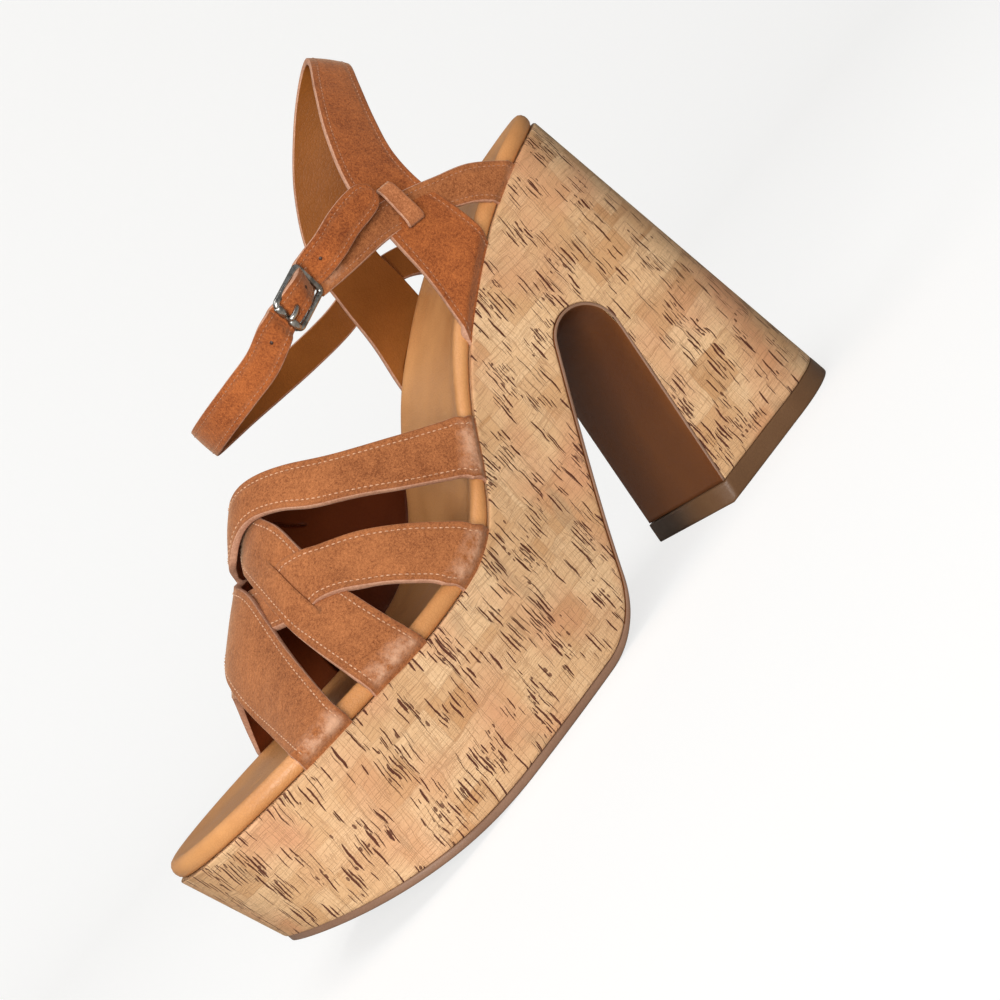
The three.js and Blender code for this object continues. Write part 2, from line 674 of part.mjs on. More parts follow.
// Sleeve at the end of the short strap, round the middle bar.
function sleeve() {
  const down = new THREE.Vector3(0, 0, -1);
  return bar(2 * SLEEVE.half, SLEEVE.radius, new THREE.Vector3(0, 0, SLEEVE.half), down);
}

// Strip of the quarter over the strap that crosses it.
function bridge(side, height) {
  const rings = [];
  for (let i = 0; i <= 8; i += 1) {
    const part = i / 4 - 1;
    const x = BRIDGE.x - BRIDGE.lean * part;
    const y = side * (BRIDGE.y - BRIDGE.drop * part ** 4);
    const z = height + BRIDGE.reach * part;
    const corner = (across, out) => [x + (across * BRIDGE.width) / 2, y + (out * BRIDGE.thick) / 2, z];
    rings.push([corner(1, 1), corner(-1, 1), corner(-1, -1), corner(1, -1)]);
  }
  return ringSolid(rings);
}

function ankleStraps() {
  const longStrap = [...LONG_STRAP, ...buckleWave(), ...LONG_STRAP_TAIL];
  return quarterBand()
    .add(ribbon(SHORT_STRAP, ANKLE_STRAP_THICK, 20))
    .add(sleeve())
    .add(ribbon(longStrap, ANKLE_STRAP_THICK, 76))
    .add(bridge(1, BRIDGE.outerZ))
    .add(bridge(-1, BRIDGE.innerZ))
    .subtract(belowSeam())
    .subtract(buckleFrame(WIRE + GAP))
    .subtract(bucklePin(PIN.radius + GAP));
}

// ---------------------------------------------------------------- assembly

const CORK = { color: 0xd9b482, roughness: 0.8, metalness: 0 };
const BROWN_RUBBER = { color: 0x6f4430, roughness: 0.6, metalness: 0 };
const TAN_LINING = { color: 0xc98a4b, roughness: 0.5, metalness: 0 };
const TAN_SUEDE = { color: 0xb06a38, roughness: 0.9, metalness: 0 };
const OLD_BRASS = { color: 0x6d6557, roughness: 0.4, metalness: 0.9 };

const block = platformBlock();
const sandal = new THREE.Group();
sandal.add(meshOf('cork_platform', corkPlatform(block), CORK));
sandal.add(meshOf('outsole', outsole(block), BROWN_RUBBER));
sandal.add(meshOf('top_lift', topLift(block), BROWN_RUBBER));
sandal.add(meshOf('footbed', footbed(), TAN_LINING));
sandal.add(meshOf('vamp_straps', vampStraps(), TAN_SUEDE));
sandal.add(meshOf('ankle_straps', ankleStraps(), TAN_SUEDE));
sandal.add(meshOf('buckle_frame', buckleFrame(WIRE), OLD_BRASS));
sandal.add(meshOf('buckle_pin', bucklePin(PIN.radius), OLD_BRASS));

// The origin is the middle of the bounding box's bottom.
const box = new THREE.Box3().setFromObject(sandal);
const middle = box.getCenter(new THREE.Vector3());
sandal.children.forEach(({ geometry }) => geometry.translate(-middle.x, -middle.y, -box.min.z));

export default sandal;
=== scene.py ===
"""Platform sandal for the left foot: cork platform and block heel, padded tan footbed,
four woven suede vamp straps, quarter band, and a buckled ankle strap.

Shapes are worked out in millimetres, +X toe, +Y outer side, +Z up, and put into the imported
model's frame by SHIFT. Every surface is a grid of points, rows along a piece and columns
round or across it.
"""

import math

import bmesh
import bpy
import numpy as np
from mathutils import Euler, Matrix, Vector


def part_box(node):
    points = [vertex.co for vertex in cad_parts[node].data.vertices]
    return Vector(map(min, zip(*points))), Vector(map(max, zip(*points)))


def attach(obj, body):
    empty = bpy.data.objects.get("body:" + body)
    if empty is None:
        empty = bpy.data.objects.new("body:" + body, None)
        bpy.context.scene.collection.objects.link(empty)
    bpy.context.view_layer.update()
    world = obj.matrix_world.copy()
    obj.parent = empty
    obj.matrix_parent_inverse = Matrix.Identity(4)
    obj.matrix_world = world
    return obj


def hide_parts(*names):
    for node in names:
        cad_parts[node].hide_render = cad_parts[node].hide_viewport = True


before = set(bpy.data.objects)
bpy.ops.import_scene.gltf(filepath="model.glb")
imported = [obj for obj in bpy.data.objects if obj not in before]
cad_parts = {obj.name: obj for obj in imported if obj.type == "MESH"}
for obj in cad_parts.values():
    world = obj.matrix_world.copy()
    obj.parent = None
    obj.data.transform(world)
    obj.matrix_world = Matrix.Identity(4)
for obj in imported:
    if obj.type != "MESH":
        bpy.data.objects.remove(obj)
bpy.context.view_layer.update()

# ------------------------------------------------------------------ sizes of the last and platform

HEEL_END, HEEL_ROUND_X, TOE_ROUND_X, TOE_END, TOE_TIP_Y = -115.0, -86.0, 66.0, 118.7, -4.0
SHIFT = np.array([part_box("cork_platform")[1].x * 1000 - TOE_END, -0.11, 0.0])
MM = 0.001

# columns: x, y of the seam on the outer side, y on the inner side
SEAM_PLAN = np.array([
    [-86, 29.5, -29.5], [-60, 30.8, -30.8], [-40, 31.3, -31.0], [-20, 33.3, -31.5],
    [0, 38.3, -34.8], [20, 42.6, -40.2], [42, 45.0, -44.4], [66, 45.2, -45.0]])
# columns: x, height of the seam between footbed and cork
SEAM_HEIGHT = np.array([
    [-115, 114.9], [-94, 111.2], [-80, 107.1], [-66, 101.6], [-50, 93.2], [-35, 83.8],
    [-21, 71.6], [-10, 59.8], [1, 50.6], [11, 46.2], [22, 44.4], [40, 43.8], [60, 45.0],
    [84, 46.2], [118.7, 47.8]])
WALL_SHIFT = (-5.6, -7.6)   # how far the walls move back going down: heel, toe
WALL_TAPER = (0.89, 0.975)  # how far they draw in
FLAT_FRONT_X, TOE_SPRING_RADIUS = 46.0, 150.0
FLAT_BACK_X, SOLE_CURVE_RADIUS, ARCH_SLOPE = 9.0, 30.0, 55.4
BREAST_FOOT_X, ARCH_TOP, ARCH_RADIUS = -56.8, (-63.4, 61.0), 10.2
BREAST_LEAN = math.atan2(ARCH_TOP[1], BREAST_FOOT_X - ARCH_TOP[0] + ARCH_RADIUS)
SOLE, COVER, LIFT, ROLL = 2.2, 1.0, 6.0, 5.6  # thickness of sole, arch cover, lift, footbed roll
GLUE = 0.15                                   # gap between the cork and what covers it
CORK_RIM = 0.7                                # radius of the cork's edges
CORK_LEAN = (0.12, 0.34)  # how far the sheet's grain leans forward going down: heel, toe

# columns: x, height of the ridge under the vamp straps
RIDGE = np.array([
    [-25, 135], [0, 121.5], [20, 110], [30, 103.4], [38, 97.8], [44, 92.4], [50, 86.4],
    [57, 81.8], [62, 78.4], [66, 75.6], [70, 72.2], [76, 66], [90, 54]])
# columns: share of the way from the ridge (0) over the foot's side (1) to the seam (1.1), then
# x of back and front edge of the sweep (the rising half of a strap) and of the drop (its
# falling half)
REAR_WEAVE = np.array([
    [0.0, 33.0, 46.0, 33.0, 46.0], [0.2, 27.4, 37.8, 34.4, 49.4], [0.4, 20.4, 31.4, 35.3, 52.9],
    [0.6, 11.5, 24.9, 38.5, 56.3], [0.8, -2.4, 11.7, 40.8, 58.2], [0.94, -13.1, -0.6, 40.9, 59.0],
    [1.0, -17.7, -5.8, 40.3, 59.2], [1.1, -21.0, -8.8, 39.1, 58.7]])
FRONT_WEAVE = np.array([
    [0.0, 50.6, 71.6, 50.6, 71.6], [0.2, 48.2, 65.0, 52.4, 75.6], [0.4, 44.8, 58.6, 56.7, 78.2],
    [0.6, 36.9, 51.8, 61.1, 80.3], [0.8, 23.0, 40.5, 64.9, 82.4], [0.94, 11.1, 29.5, 67.4, 83.8],
    [1.0, 5.6, 24.1, 68.2, 84.4], [1.1, 2.4, 20.7, 67.8, 84.1]])
STRAP_THICK, STRAP_PROUD, WEAVE_LIFT = 2.1, 1.6, 1.15
# each vamp strap: its weave, the side of its sweep, the name of its sweep's row
BANDS = {"a": (REAR_WEAVE, 1, "rear"), "c": (REAR_WEAVE, -1, "rear"),
         "b": (FRONT_WEAVE, 1, "front"), "d": (FRONT_WEAVE, -1, "front")}
OVER_RIDGE = {"a": 4.6, "d": 3.2}  # lift of the upper straps on the ridge
CROSSED_BY = {"c": "a", "b": "d"}  # the upper strap over each lower strap there
UNDER_RIDGE = -0.5                 # lift of the lower straps
# the strap that goes through a slit, the strap with the slit, and the side of the foot
THREADED = (("b", "c", 1), ("d", "a", -1))
# how far forward the inner feet sit: rear sweep, front sweep, drop
MEDIAL_SHIFT = {"rear": 2.1, "front": -6.0, "drop": -13.0}


# ------------------------------------------------------------------ curves

def along(rows, at, column=1):
    """Cubic Hermite curve through a table's column, with the slope at each row taken from
    its two neighbours."""
    keys, values = rows[:, 0], rows[:, column]
    at = np.clip(at, keys[0], keys[-1])
    i = np.clip(np.searchsorted(keys, at) - 1, 0, len(keys) - 2)
    number = np.arange(len(keys))
    before, after = np.maximum(number - 1, 0), np.minimum(number + 1, len(keys) - 1)
    slope = (values[after] - values[before]) / (keys[after] - keys[before])
    span, rise = keys[i + 1] - keys[i], values[i + 1] - values[i]
    t = (at - keys[i]) / span
    bend = (1 - t) * (slope[i] * span - rise) - t * (slope[i + 1] * span - rise)
    return values[i] + t * rise + t * (1 - t) * bend


def smooth_path(points, count):
    """Centripetal Catmull-Rom curve through points of any dimension, read at equal steps of
    the point number."""
    p = np.vstack([2 * points[0] - points[1], points, 2 * points[-1] - points[-2]])
    t = np.linspace(0, len(points) - 1, count)
    i = np.clip(t.astype(int), 0, len(points) - 2)
    w = (t - i)[:, None]
    a, b, c, d = p[i], p[i + 1], p[i + 2], p[i + 3]
    gap = [np.sqrt(np.linalg.norm(e - s, axis=1))[:, None] + 1e-9 for s, e in ((a, b), (b, c), (c, d))]
    start = ((b - a) / gap[0] - (c - a) / (gap[0] + gap[1]) + (c - b) / gap[1]) * gap[1]
    end = ((c - b) / gap[1] - (d - b) / (gap[1] + gap[2]) + (d - c) / gap[2]) * gap[1]
    return b + start * w + (3 * (c - b) - 2 * start - end) * w**2 + (2 * (b - c) + start + end) * w**3


def unit(v):
    """Vectors divided by their lengths."""
    return v / (np.linalg.norm(v, axis=-1, keepdims=True) + 1e-12)


def smoothstep(low, high, value):
    """0 below low, 1 above high, and 3t^2 - 2t^3 between them."""
    t = np.clip((value - low) / (high - low), 0, 1)
    return t * t * (3 - 2 * t)


def arc_length(points):
    """Running length along the rows of a line of points."""
    return np.concatenate([[0], np.cumsum(np.linalg.norm(np.diff(points, axis=0), axis=1))])


def seam_y(x, side):
    """Seam plan: the table between heel and toe, a quarter ellipse at each end."""
    heel = np.clip((HEEL_ROUND_X - x) / (HEEL_ROUND_X - HEEL_END), 0, 1)
    toe = np.clip((x - TOE_ROUND_X) / (TOE_END - TOE_ROUND_X), 0, 1)
    middle = along(SEAM_PLAN, x, 1 if side > 0 else 2)
    rounded = TOE_TIP_Y + (middle - TOE_TIP_Y) * np.sqrt(1 - toe**2)
    return np.where(x > TOE_ROUND_X, rounded, middle * np.sqrt(1 - heel**2))


def seam_z(x):
    """Height of the seam between footbed and cork."""
    return along(SEAM_HEIGHT, x)


def floor_z(x):
    """Underside of the sole: flat, then an arc up to the toe."""
    run = np.maximum(x - FLAT_FRONT_X, 0)
    return TOE_SPRING_RADIUS - np.sqrt(TOE_SPRING_RADIUS**2 - run**2)


def wall_low(x):
    """Lower end of the platform's ruling that starts on the seam at x: its x, z and taper."""
    part = (x - HEEL_END) / (TOE_END - HEEL_END)
    low_x = x + WALL_SHIFT[0] + (WALL_SHIFT[1] - WALL_SHIFT[0]) * part
    return low_x, floor_z(low_x), WALL_TAPER[0] + (WALL_TAPER[1] - WALL_TAPER[0]) * part


def wall_y(x, z, side):
    """Half width of the platform at a point of its side view, and the seam x of the ruling
    through it, found by stepping along the rulings."""
    seam_x = x.copy()
    for _ in range(12):
        low_x, low_z, taper = wall_low(seam_x)
        down = (seam_z(seam_x) - z) / (seam_z(seam_x) - low_z)
        seam_x = x - down * (low_x - seam_x)
    return seam_y(seam_x, side) * (1 + down * (taper - 1)), seam_x


def ruled_y(seam_x, z, side):
    """Half width at heights z on the rulings from given seam stations, one row a station."""
    _, low_z, taper = (part[:, None] for part in wall_low(seam_x))
    up = (z - low_z) / (seam_z(seam_x)[:, None] - low_z)
    return seam_y(seam_x, side)[:, None] * (taper + up * (1 - taper))


def side_section(x, z, y, draw_in):
    """Outer wall going one way and inner wall coming back, both drawn in by an amount but
    never past each other."""
    middle, half = (y[0] + y[1]) / 2, np.clip((y[0] - y[1]) / 2 - draw_in, 0, None)
    return np.stack([x, middle + half, z], -1), np.stack([x, middle - half, z], -1)[:, ::-1]


# ------------------------------------------------------------------ meshes

def linked(name, data):
    """New object of a mesh, light or camera, in the scene."""
    thing = bpy.data.objects.new(name, data)
    bpy.context.scene.collection.objects.link(thing)
    return thing


def quads(rows, columns, round_rows=False, round_columns=False):
    """Faces of a grid of points: the four point numbers of each cell, row by row."""
    row = np.arange(rows if round_rows else rows - 1)[:, None]
    column = np.arange(columns if round_columns else columns - 1)[None, :]
    after, beside = (row + 1) % rows * columns, (column + 1) % columns
    row = row * columns
    return np.stack([row + column, row + beside, after + beside, after + column], -1).reshape(-1, 4)


def copies(faces, count, points):
    """Faces of one small form repeated for a count of forms of so many points."""
    return (faces[None] + (np.arange(count) * points)[:, None, None]).reshape(-1, 4)


def corners(uv):
    """UV of every corner of a grid's faces, from a UV for every point."""
    return uv.reshape(-1, 2)[quads(*uv.shape[:2])].reshape(-1, 2)


def mesh_piece(name, points, faces, materials, corner_uv=None, kinds=0, attributes=None):
    """One mesh object from points in mm, four-cornered faces, a UV for every corner (mm) and
    a material number for every face."""
    points = points.reshape(-1, 3)
    corner_uv = np.zeros((faces.size, 2)) if corner_uv is None else corner_uv
    mesh = bpy.data.meshes.new(name)
    mesh.vertices.add(len(points))
    mesh.vertices.foreach_set("co", ((points + SHIFT) * MM).astype(np.float32).ravel())
    mesh.loops.add(faces.size)
    mesh.loops.foreach_set("vertex_index", faces.astype(np.int32).ravel())
    mesh.polygons.add(len(faces))
    mesh.polygons.foreach_set("loop_start", np.arange(0, faces.size, 4, dtype=np.int32))
    mesh.polygons.foreach_set("material_index", (np.zeros(len(faces)) + kinds).astype(np.int32))
    mesh.polygons.foreach_set("use_smooth", np.ones(len(faces), bool))
    mesh.update(calc_edges=True)
    layer = mesh.uv_layers.new(name="surface")
    layer.data.foreach_set("uv", (corner_uv * MM).astype(np.float32).ravel())
    for key, values in (attributes or {}).items():
        made = mesh.attributes.new(key, "FLOAT", "POINT")
        made.data.foreach_set("value", values.astype(np.float32).ravel())
    mesh.validate()
    piece = linked(name, mesh)
    for material in materials:
        mesh.materials.append(material)
    tidy_mesh(mesh)
    return piece


def tidy_mesh(mesh):
    """Merges doubled points, drops empty faces and turns all faces outwards."""
    bm = bmesh.new()
    bm.from_mesh(mesh)
    bmesh.ops.remove_doubles(bm, verts=bm.verts, dist=2e-6)
    bmesh.ops.dissolve_degenerate(bm, edges=bm.edges, dist=1e-6)
    bmesh.ops.recalc_face_normals(bm, faces=bm.faces)
    if bm.calc_volume(signed=True) < 0:
        bmesh.ops.reverse_faces(bm, faces=bm.faces)
    bm.to_mesh(mesh)
    bm.free()


def loft(name, rings, materials, uv=None, kinds=0, closed_rows=False, caps=True, attributes=None):
    """Closed tube from rings (rows, columns, 3). uv has one more column than the rings, and
    kinds gives the material of each column's strip. Open ends are closed by folding the last
    ring flat, each point joined to its partner across the ring."""
    rows, columns = rings.shape[:2]
    faces = quads(rows, columns, closed_rows, True)
    corner = corners(np.zeros((rows + closed_rows, columns + 1, 2)) if uv is None else uv)
    kinds = np.broadcast_to(kinds, (columns,))
    kind = np.tile(kinds, len(faces) // columns)
    if caps and not closed_rows:
        half = columns // 2
        i = np.arange(half - 1)
        for start in (0, (rows - 1) * columns):
            last = start + columns - 1
            cap = np.stack([start + i, start + i + 1, last - 1 - i, last - i], -1)
            faces = np.vstack([faces, cap])
            corner = np.vstack([corner, np.zeros((cap.size, 2))])
            kind = np.concatenate([kind, np.full(len(cap), kinds[half])])
    return mesh_piece(name, rings, faces, materials, corner, kind, attributes)


# ------------------------------------------------------------------ materials: shared effects

class Signal:
    """Output of a shader node. Sums and products of signals place Math nodes, and signal[key]
    is another output of the same node."""

    def __init__(self, socket):
        self.socket, self.tree = socket, socket.id_data

    def __getitem__(self, key):
        return Signal(self.socket.node.outputs[key])

    def math(self, operation, *values):
        """One Math node on values that are numbers or signals."""
        return add(self.tree, "ShaderNodeMath", dict(enumerate(values)), operation=operation)

    __add__ = lambda self, other: self.math("ADD", self, other)
    __sub__ = lambda self, other: self.math("SUBTRACT", self, other)
    __rsub__ = lambda self, other: self.math("SUBTRACT", other, self)
    __mul__ = lambda self, other: self.math("MULTIPLY", self, other)
    __truediv__ = lambda self, other: self.math("DIVIDE", self, other)
    __pow__ = lambda self, other: self.math("POWER", self, other)
    __abs__ = lambda self: self.math("ABSOLUTE", self)
    floor = lambda self: self.math("FLOOR", self)
    most = lambda self, other: self.math("MAXIMUM", self, other)

    def clamped(self):
        """Held between 0 and 1."""
        self.socket.node.use_clamp = True
        return self

    def split(self):
        """The three parts of a vector, as signal[0] to signal[2]."""
        return add(self.tree, "ShaderNodeSeparateXYZ", {0: self})

    def joined(self, *others):
        """Vector of this signal and up to two others."""
        return add(self.tree, "ShaderNodeCombineXYZ", dict(enumerate((self, *others))))

    def ramp(self, low, high, to_low=0.0, to_high=1.0):
        """Straight line from to_low at low to to_high at high, held beyond them."""
        return add(self.tree, "ShaderNodeMapRange", {0: self, 1: low, 2: high, 3: to_low, 4: to_high})

    def mix(self, first, second):
        """Colour between two, with this signal as the share of the second."""
        return add(self.tree, "ShaderNodeMix", {0: self, 6: first, 7: second}, data_type="RGBA")[2]

    def noise(self, scale, detail=3.0, rough=0.55, stretch=None):
        """Noise read at this signal, [0] as a value and [1] as a colour."""
        where = add(self.tree, "ShaderNodeMapping", {"Vector": self, "Scale": stretch}) if stretch else self
        return add(self.tree, "ShaderNodeTexNoise",
                   {"Vector": where, "Scale": scale, "Detail": detail, "Roughness": rough})

    def random(self, dimensions):
        """White noise read at this signal, [0] as a value and [1] as a colour."""
        return add(self.tree, "ShaderNodeTexWhiteNoise", {"Vector": self}, noise_dimensions=dimensions)


def feed(socket, value):
    """Links a signal to a socket, or sets the socket's plain value."""
    if isinstance(value, Signal):
        value.tree.links.new(value.socket, socket)
    else:
        socket.default_value = (*value, 1.0) if socket.type == "RGBA" and len(value) == 3 else value


def add(tree, kind, inputs=None, **settings):
    """New node with its settings and inputs; its first output as a signal."""
    node = tree.nodes.new(kind)
    for key, value in settings.items():
        setattr(node, key, value)
    for key, value in (inputs or {}).items():
        feed(node.inputs[key], value)
    return Signal(node.outputs[0])


SOCKETS = {"Where": "NodeSocketVector", "Dark": "NodeSocketColor", "Light": "NodeSocketColor",
           "Colour": "NodeSocketColor"}  # the others are NodeSocketFloat


def effect(name, *inputs):
    """Empty shader node group with named inputs; signal["Name"] is one of them."""
    tree = bpy.data.node_groups.new(name, "ShaderNodeTree")
    for label in inputs:
        tree.interface.new_socket(label, in_out="INPUT", socket_type=SOCKETS.get(label, "NodeSocketFloat"))
    return Signal(tree.nodes.new("NodeGroupInput").outputs[0])


def outputs(tree, **signals):
    """Ends a shader node group with its named outputs."""
    for label in signals:
        tree.interface.new_socket(label, in_out="OUTPUT", socket_type=SOCKETS.get(label, "NodeSocketFloat"))
    ends = tree.nodes.new("NodeGroupOutput").inputs
    for label, signal in signals.items():
        feed(ends[label], signal)
    return tree


def suede_nap():
    """Nap of suede: broad tone patches, brushed clouds and two sizes of speckle, and a fuzzy
    height."""
    given = effect("suede_nap", "Where", "Dark", "Light", "Speckle")
    where = given["Where"]
    patches = where.noise(65, 2).ramp(0.32, 0.68)
    clouds = where.noise(300, 5, 0.75).ramp(0.3, 0.7)
    fine, finest = where.noise(1500, 2, 0.7), where.noise(3600, 2, 0.7)
    speck = (fine + finest - 1.0) * given["Speckle"]
    tone = (patches * 0.26 + clouds * 0.34 + 0.2 + speck).clamped()
    return outputs(given.tree, Colour=tone.mix(given["Dark"], given["Light"]),
                   Height=fine * 0.6 + clouds * 0.4)


def smooth_grain():
    """Smooth leather: soft tone change, fine pores and faint creases."""
    given = effect("smooth_grain", "Where", "Dark", "Light")
    where = given["Where"]
    broad = where.noise(40, 3).ramp(0.3, 0.7)
    pores = add(given.tree, "ShaderNodeTexVoronoi", {"Vector": where, "Scale": 900.0},
                feature="DISTANCE_TO_EDGE").ramp(0.0, 0.12)
    creases = where.noise(160, 4, 0.6, (1, 0.35, 1)).ramp(0.42, 0.5)
    tone = (broad * 0.75 + pores * 0.2).clamped()
    return outputs(given.tree, Colour=tone.mix(given["Dark"], given["Light"]),
                   Height=pores * 0.25 + creases * 0.2 + broad * 0.4, Rough=broad.ramp(0, 1, 0.36, 0.5))


def lenticels():
    """Dark lenticels of cork: the sheet is cut into tall narrow cells, each column moved by
    its own amount. A cell holds one upright mark of random place, length and breadth, or
    none where the cluster noise is low. A ragged noise bends the marks."""
    given = effect("cork_lenticels", "Where", "Cell Width", "Cell Height", "Seed", "Least Cluster", "Breadth")
    where, ragged = given["Where"].split(), given["Where"].noise(900, 2, 0.5)[1].split()
    width, height, seed = given["Cell Width"], given["Cell Height"], given["Seed"]
    across = where[0] / width + ragged[0] * 0.16
    column = across.floor()
    moved = column.joined(seed).random("2D") * 7.0
    upward = where[1] / height + moved + ragged[1] * 0.12
    row = upward.floor()
    cell = column.joined(row, seed).random("3D")
    chance = cell[1].split()
    apart = abs(across - column - 0.5 - (chance[0] - 0.5) * 0.35)
    breadth = (chance[1] * 0.9 + 0.35) * given["Breadth"]
    thin = 1.0 - (abs(upward - row - 0.5) / (chance[2] * 0.28 + 0.2)) ** 4.0
    mark = (breadth * thin.most(0.0) - apart).ramp(0.0, 0.05)
    middle = ((column + 0.5) * width).joined((row + 0.5 - moved) * height)
    cluster = middle.noise(105, 2, 0.6) + cell * 0.22
    present = cluster.math("GREATER_THAN", cluster, given["Least Cluster"] + 0.11)
    return outputs(given.tree, Mark=mark * present)


def cork_sheet():
    """Cork sheet in the plane of the wall (u round the platform, v up, metres): chips of
    differing tone in rows, fine growth lines along u and v, and dark lenticels along v in
    groups."""
    given = effect("cork_sheet", "Where")
    tree, where = given.tree, given["Where"]
    wobble = add(tree, "ShaderNodeVectorMath", {0: where.noise(120, 2, 0.5)[1], 1: (0.0018, 0.0018, 0.0)},
                 operation="MULTIPLY")
    bent = add(tree, "ShaderNodeVectorMath", {0: where, 1: wobble}, operation="ADD")

    def chips(width, height, offset):
        """Random tone of each chip in a wall of chips, and its edge as [1]."""
        return add(tree, "ShaderNodeTexBrick", {
            "Vector": bent, "Color1": (0, 0, 0), "Color2": (1, 1, 1), "Mortar": (0.5, 0.5, 0.5), "Scale": 1.0,
            "Mortar Size": 0.00014, "Mortar Smooth": 0.5, "Bias": 0.0, "Brick Width": width,
            "Row Height": height}, offset=offset, offset_frequency=2, squash=1.35, squash_frequency=3)

    def hairlines(stretch, low):
        """Thin lines where a drawn-out noise passes its middle value."""
        return abs(bent.noise(1.0, 1.5, 0.5, stretch) - 0.5).ramp(0.0, low, 1.0, 0.0)

    def marks(width, height, seed, least, breadth):
        """One size of lenticels, in cells of a width and height in metres."""
        return add(tree, "ShaderNodeGroup", {
            "Where": bent, "Cell Width": width, "Cell Height": height, "Seed": seed,
            "Least Cluster": least, "Breadth": breadth}, node_tree=LENTICELS)

    large, small = chips(0.0125, 0.0115, 0.37), chips(0.0061, 0.0078, 0.61)
    broad = where.noise(22, 2).ramp(0.35, 0.65)
    warm = bent.noise(48, 1.5, 0.5, (1.0, 0.75, 1.0)).ramp(0.47, 0.68)
    grey = bent.noise(75, 1.5, 0.5, (1.0, 0.5, 1.0)).ramp(0.66, 0.72)
    growth = bent.noise(1.0, 2, 0.6, (110, 1500, 1))
    cells = bent.noise(1300, 3, 0.65)
    lines = (hairlines((32, 760, 1), 0.022) * 0.55).most(hairlines((560, 36, 1), 0.016) * 0.6)
    lines = lines.most((large[1] + small[1] * 0.6) * 0.4)
    dark = marks(0.0014, 0.0094, 1.0, 0.545, 0.22).most(marks(0.001, 0.0062, 5.0, 0.565, 0.19))
    dark = dark.most(marks(0.0026, 0.0145, 9.0, 0.57, 0.06) * 0.8)
    dark = dark.most(marks(0.0021, 0.002, 13.0, 0.64, 0.16) * 0.85)
    colour = large.mix((0.52, 0.272, 0.116), (0.77, 0.51, 0.285))
    for share, tint in ((small * 0.5, (0.81, 0.565, 0.335)), (warm * 0.75, (0.6, 0.27, 0.14)),
                        (grey * 0.55, (0.42, 0.28, 0.16)),
                        (growth.ramp(0.42, 0.66, 0, 0.28), (0.5, 0.27, 0.12)),
                        (cells.ramp(0.3, 0.6, 0.3, 0), (0.42, 0.22, 0.1)),
                        (broad.ramp(0, 1, 0.2, 0), (0.52, 0.28, 0.12)),
                        (lines * 0.75, (0.26, 0.12, 0.05)), (dark * 0.96, (0.08, 0.016, 0.007))):
        colour = share.mix(colour, tint)
    return outputs(tree, Colour=colour, Height=cells * 0.25 - dark - lines * 0.4 + large * 0.12,
                   Rough=dark.ramp(0, 1, 0.62, 0.88))


SUEDE_NAP, SMOOTH_GRAIN, LENTICELS = suede_nap(), smooth_grain(), lenticels()
CORK_SHEET = cork_sheet()


def finish_of(name, roughness=0.5, **constant):
    """New material and its shader; plain values are set on the shader's own sockets."""
    material = bpy.data.materials.new(name)
    material.use_nodes = True
    shader = material.node_tree.nodes["Principled BSDF"]
    shader.inputs["Roughness"].default_value = roughness
    for key, value in constant.items():
        shader.inputs[key.replace("_", " ")].default_value = value
    return material, shader


def surface(shader, colour, height, depth, strength=1.0, rough=None):
    """Feeds a shader its colour, its bump of a depth in metres, and its roughness."""
    feed(shader.inputs["Base Color"], colour)
    feed(shader.inputs["Normal"], add(shader.id_data, "ShaderNodeBump", {
        "Strength": strength, "Distance": depth, "Height": height}))
    if rough:
        feed(shader.inputs["Roughness"], rough)


def placed(shader, group, **inputs):
    """Shader node group placed in a shader's material with its own values."""
    return add(shader.id_data, "ShaderNodeGroup", inputs, node_tree=group)


def place(shader):
    """Object coordinates, in metres."""
    return add(shader.id_data, "ShaderNodeTexCoord")["Object"]


def attribute(shader, name):
    """Value of a mesh's own attribute."""
    return add(shader.id_data, "ShaderNodeAttribute", attribute_name=name)["Fac"]


def suede_material(name, dark, light, burnish_and_painted_sheen=0.0, groove=0.3):
    """Suede with a pressed line of a depth under the stitches, a darker rim and, by the share that its
    fourth argument gives, a rubbed band where it bends over the footbed's roll: smoother, and paler
    by a painted highlight. The edge and end attributes hold the distance in mm to the nearest cut
    edge and to the nearest end."""
    material, shader = finish_of(name, 0.92, Sheen_Weight=0.35, Sheen_Roughness=0.45,
                                 Sheen_Tint=(1.0, 0.72, 0.5, 1), Specular_IOR_Level=0.25)
    where, edge, end = place(shader), attribute(shader, "edge"), attribute(shader, "end")
    nap = placed(shader, SUEDE_NAP, Where=where, Dark=dark, Light=light, Speckle=1.4)
    band = end.ramp(2.2, 4.6) * end.ramp(6.0, 10.5, 1.0, 0.0) * edge.ramp(0.4, 2.6)
    wear_and_painted_highlight = band * where.noise(240, 4, 0.7).ramp(0.36, 0.62) * burnish_and_painted_sheen
    pressed = abs(edge - 1.9).ramp(0.15, 0.8, groove, 0.0)
    colour = edge.ramp(0.0, 0.8, 0.45, 0.0).mix(nap["Colour"], (0.22, 0.075, 0.03))
    # the rubbed band's paler colour is a painted highlight on the bend over the roll; its lower roughness is
    # real
    colour = wear_and_painted_highlight.mix(pressed.mix(colour, (0.26, 0.09, 0.035)), (0.66, 0.38, 0.24))
    surface(shader, colour, nap["Height"] - pressed * 2.0, 0.00022, 0.9, wear_and_painted_highlight.ramp(0, 1, 0.92, 0.55))
    return material


def plain_grain(name, dark, light, roughness, depth, **constant):
    """Smooth leather or rubber in two tones, with its grain's depth in metres."""
    material, shader = finish_of(name, roughness, **constant)
    grain = placed(shader, SMOOTH_GRAIN, Where=place(shader), Dark=dark, Light=light)
    surface(shader, grain["Colour"], grain["Height"], depth, 0.6, grain["Rough"])
    return material


def cut_edge_material():
    """Raw edge of two glued leather layers: paler fibre with a fine grain."""
    material, shader = finish_of("cut_leather_edge", 0.85)
    nap = placed(shader, SUEDE_NAP, Where=place(shader), Dark=(0.3, 0.12, 0.06), Light=(0.62, 0.35, 0.23),
                 Speckle=1.2)
    surface(shader, nap["Colour"], nap["Height"], 0.0002)
    return material


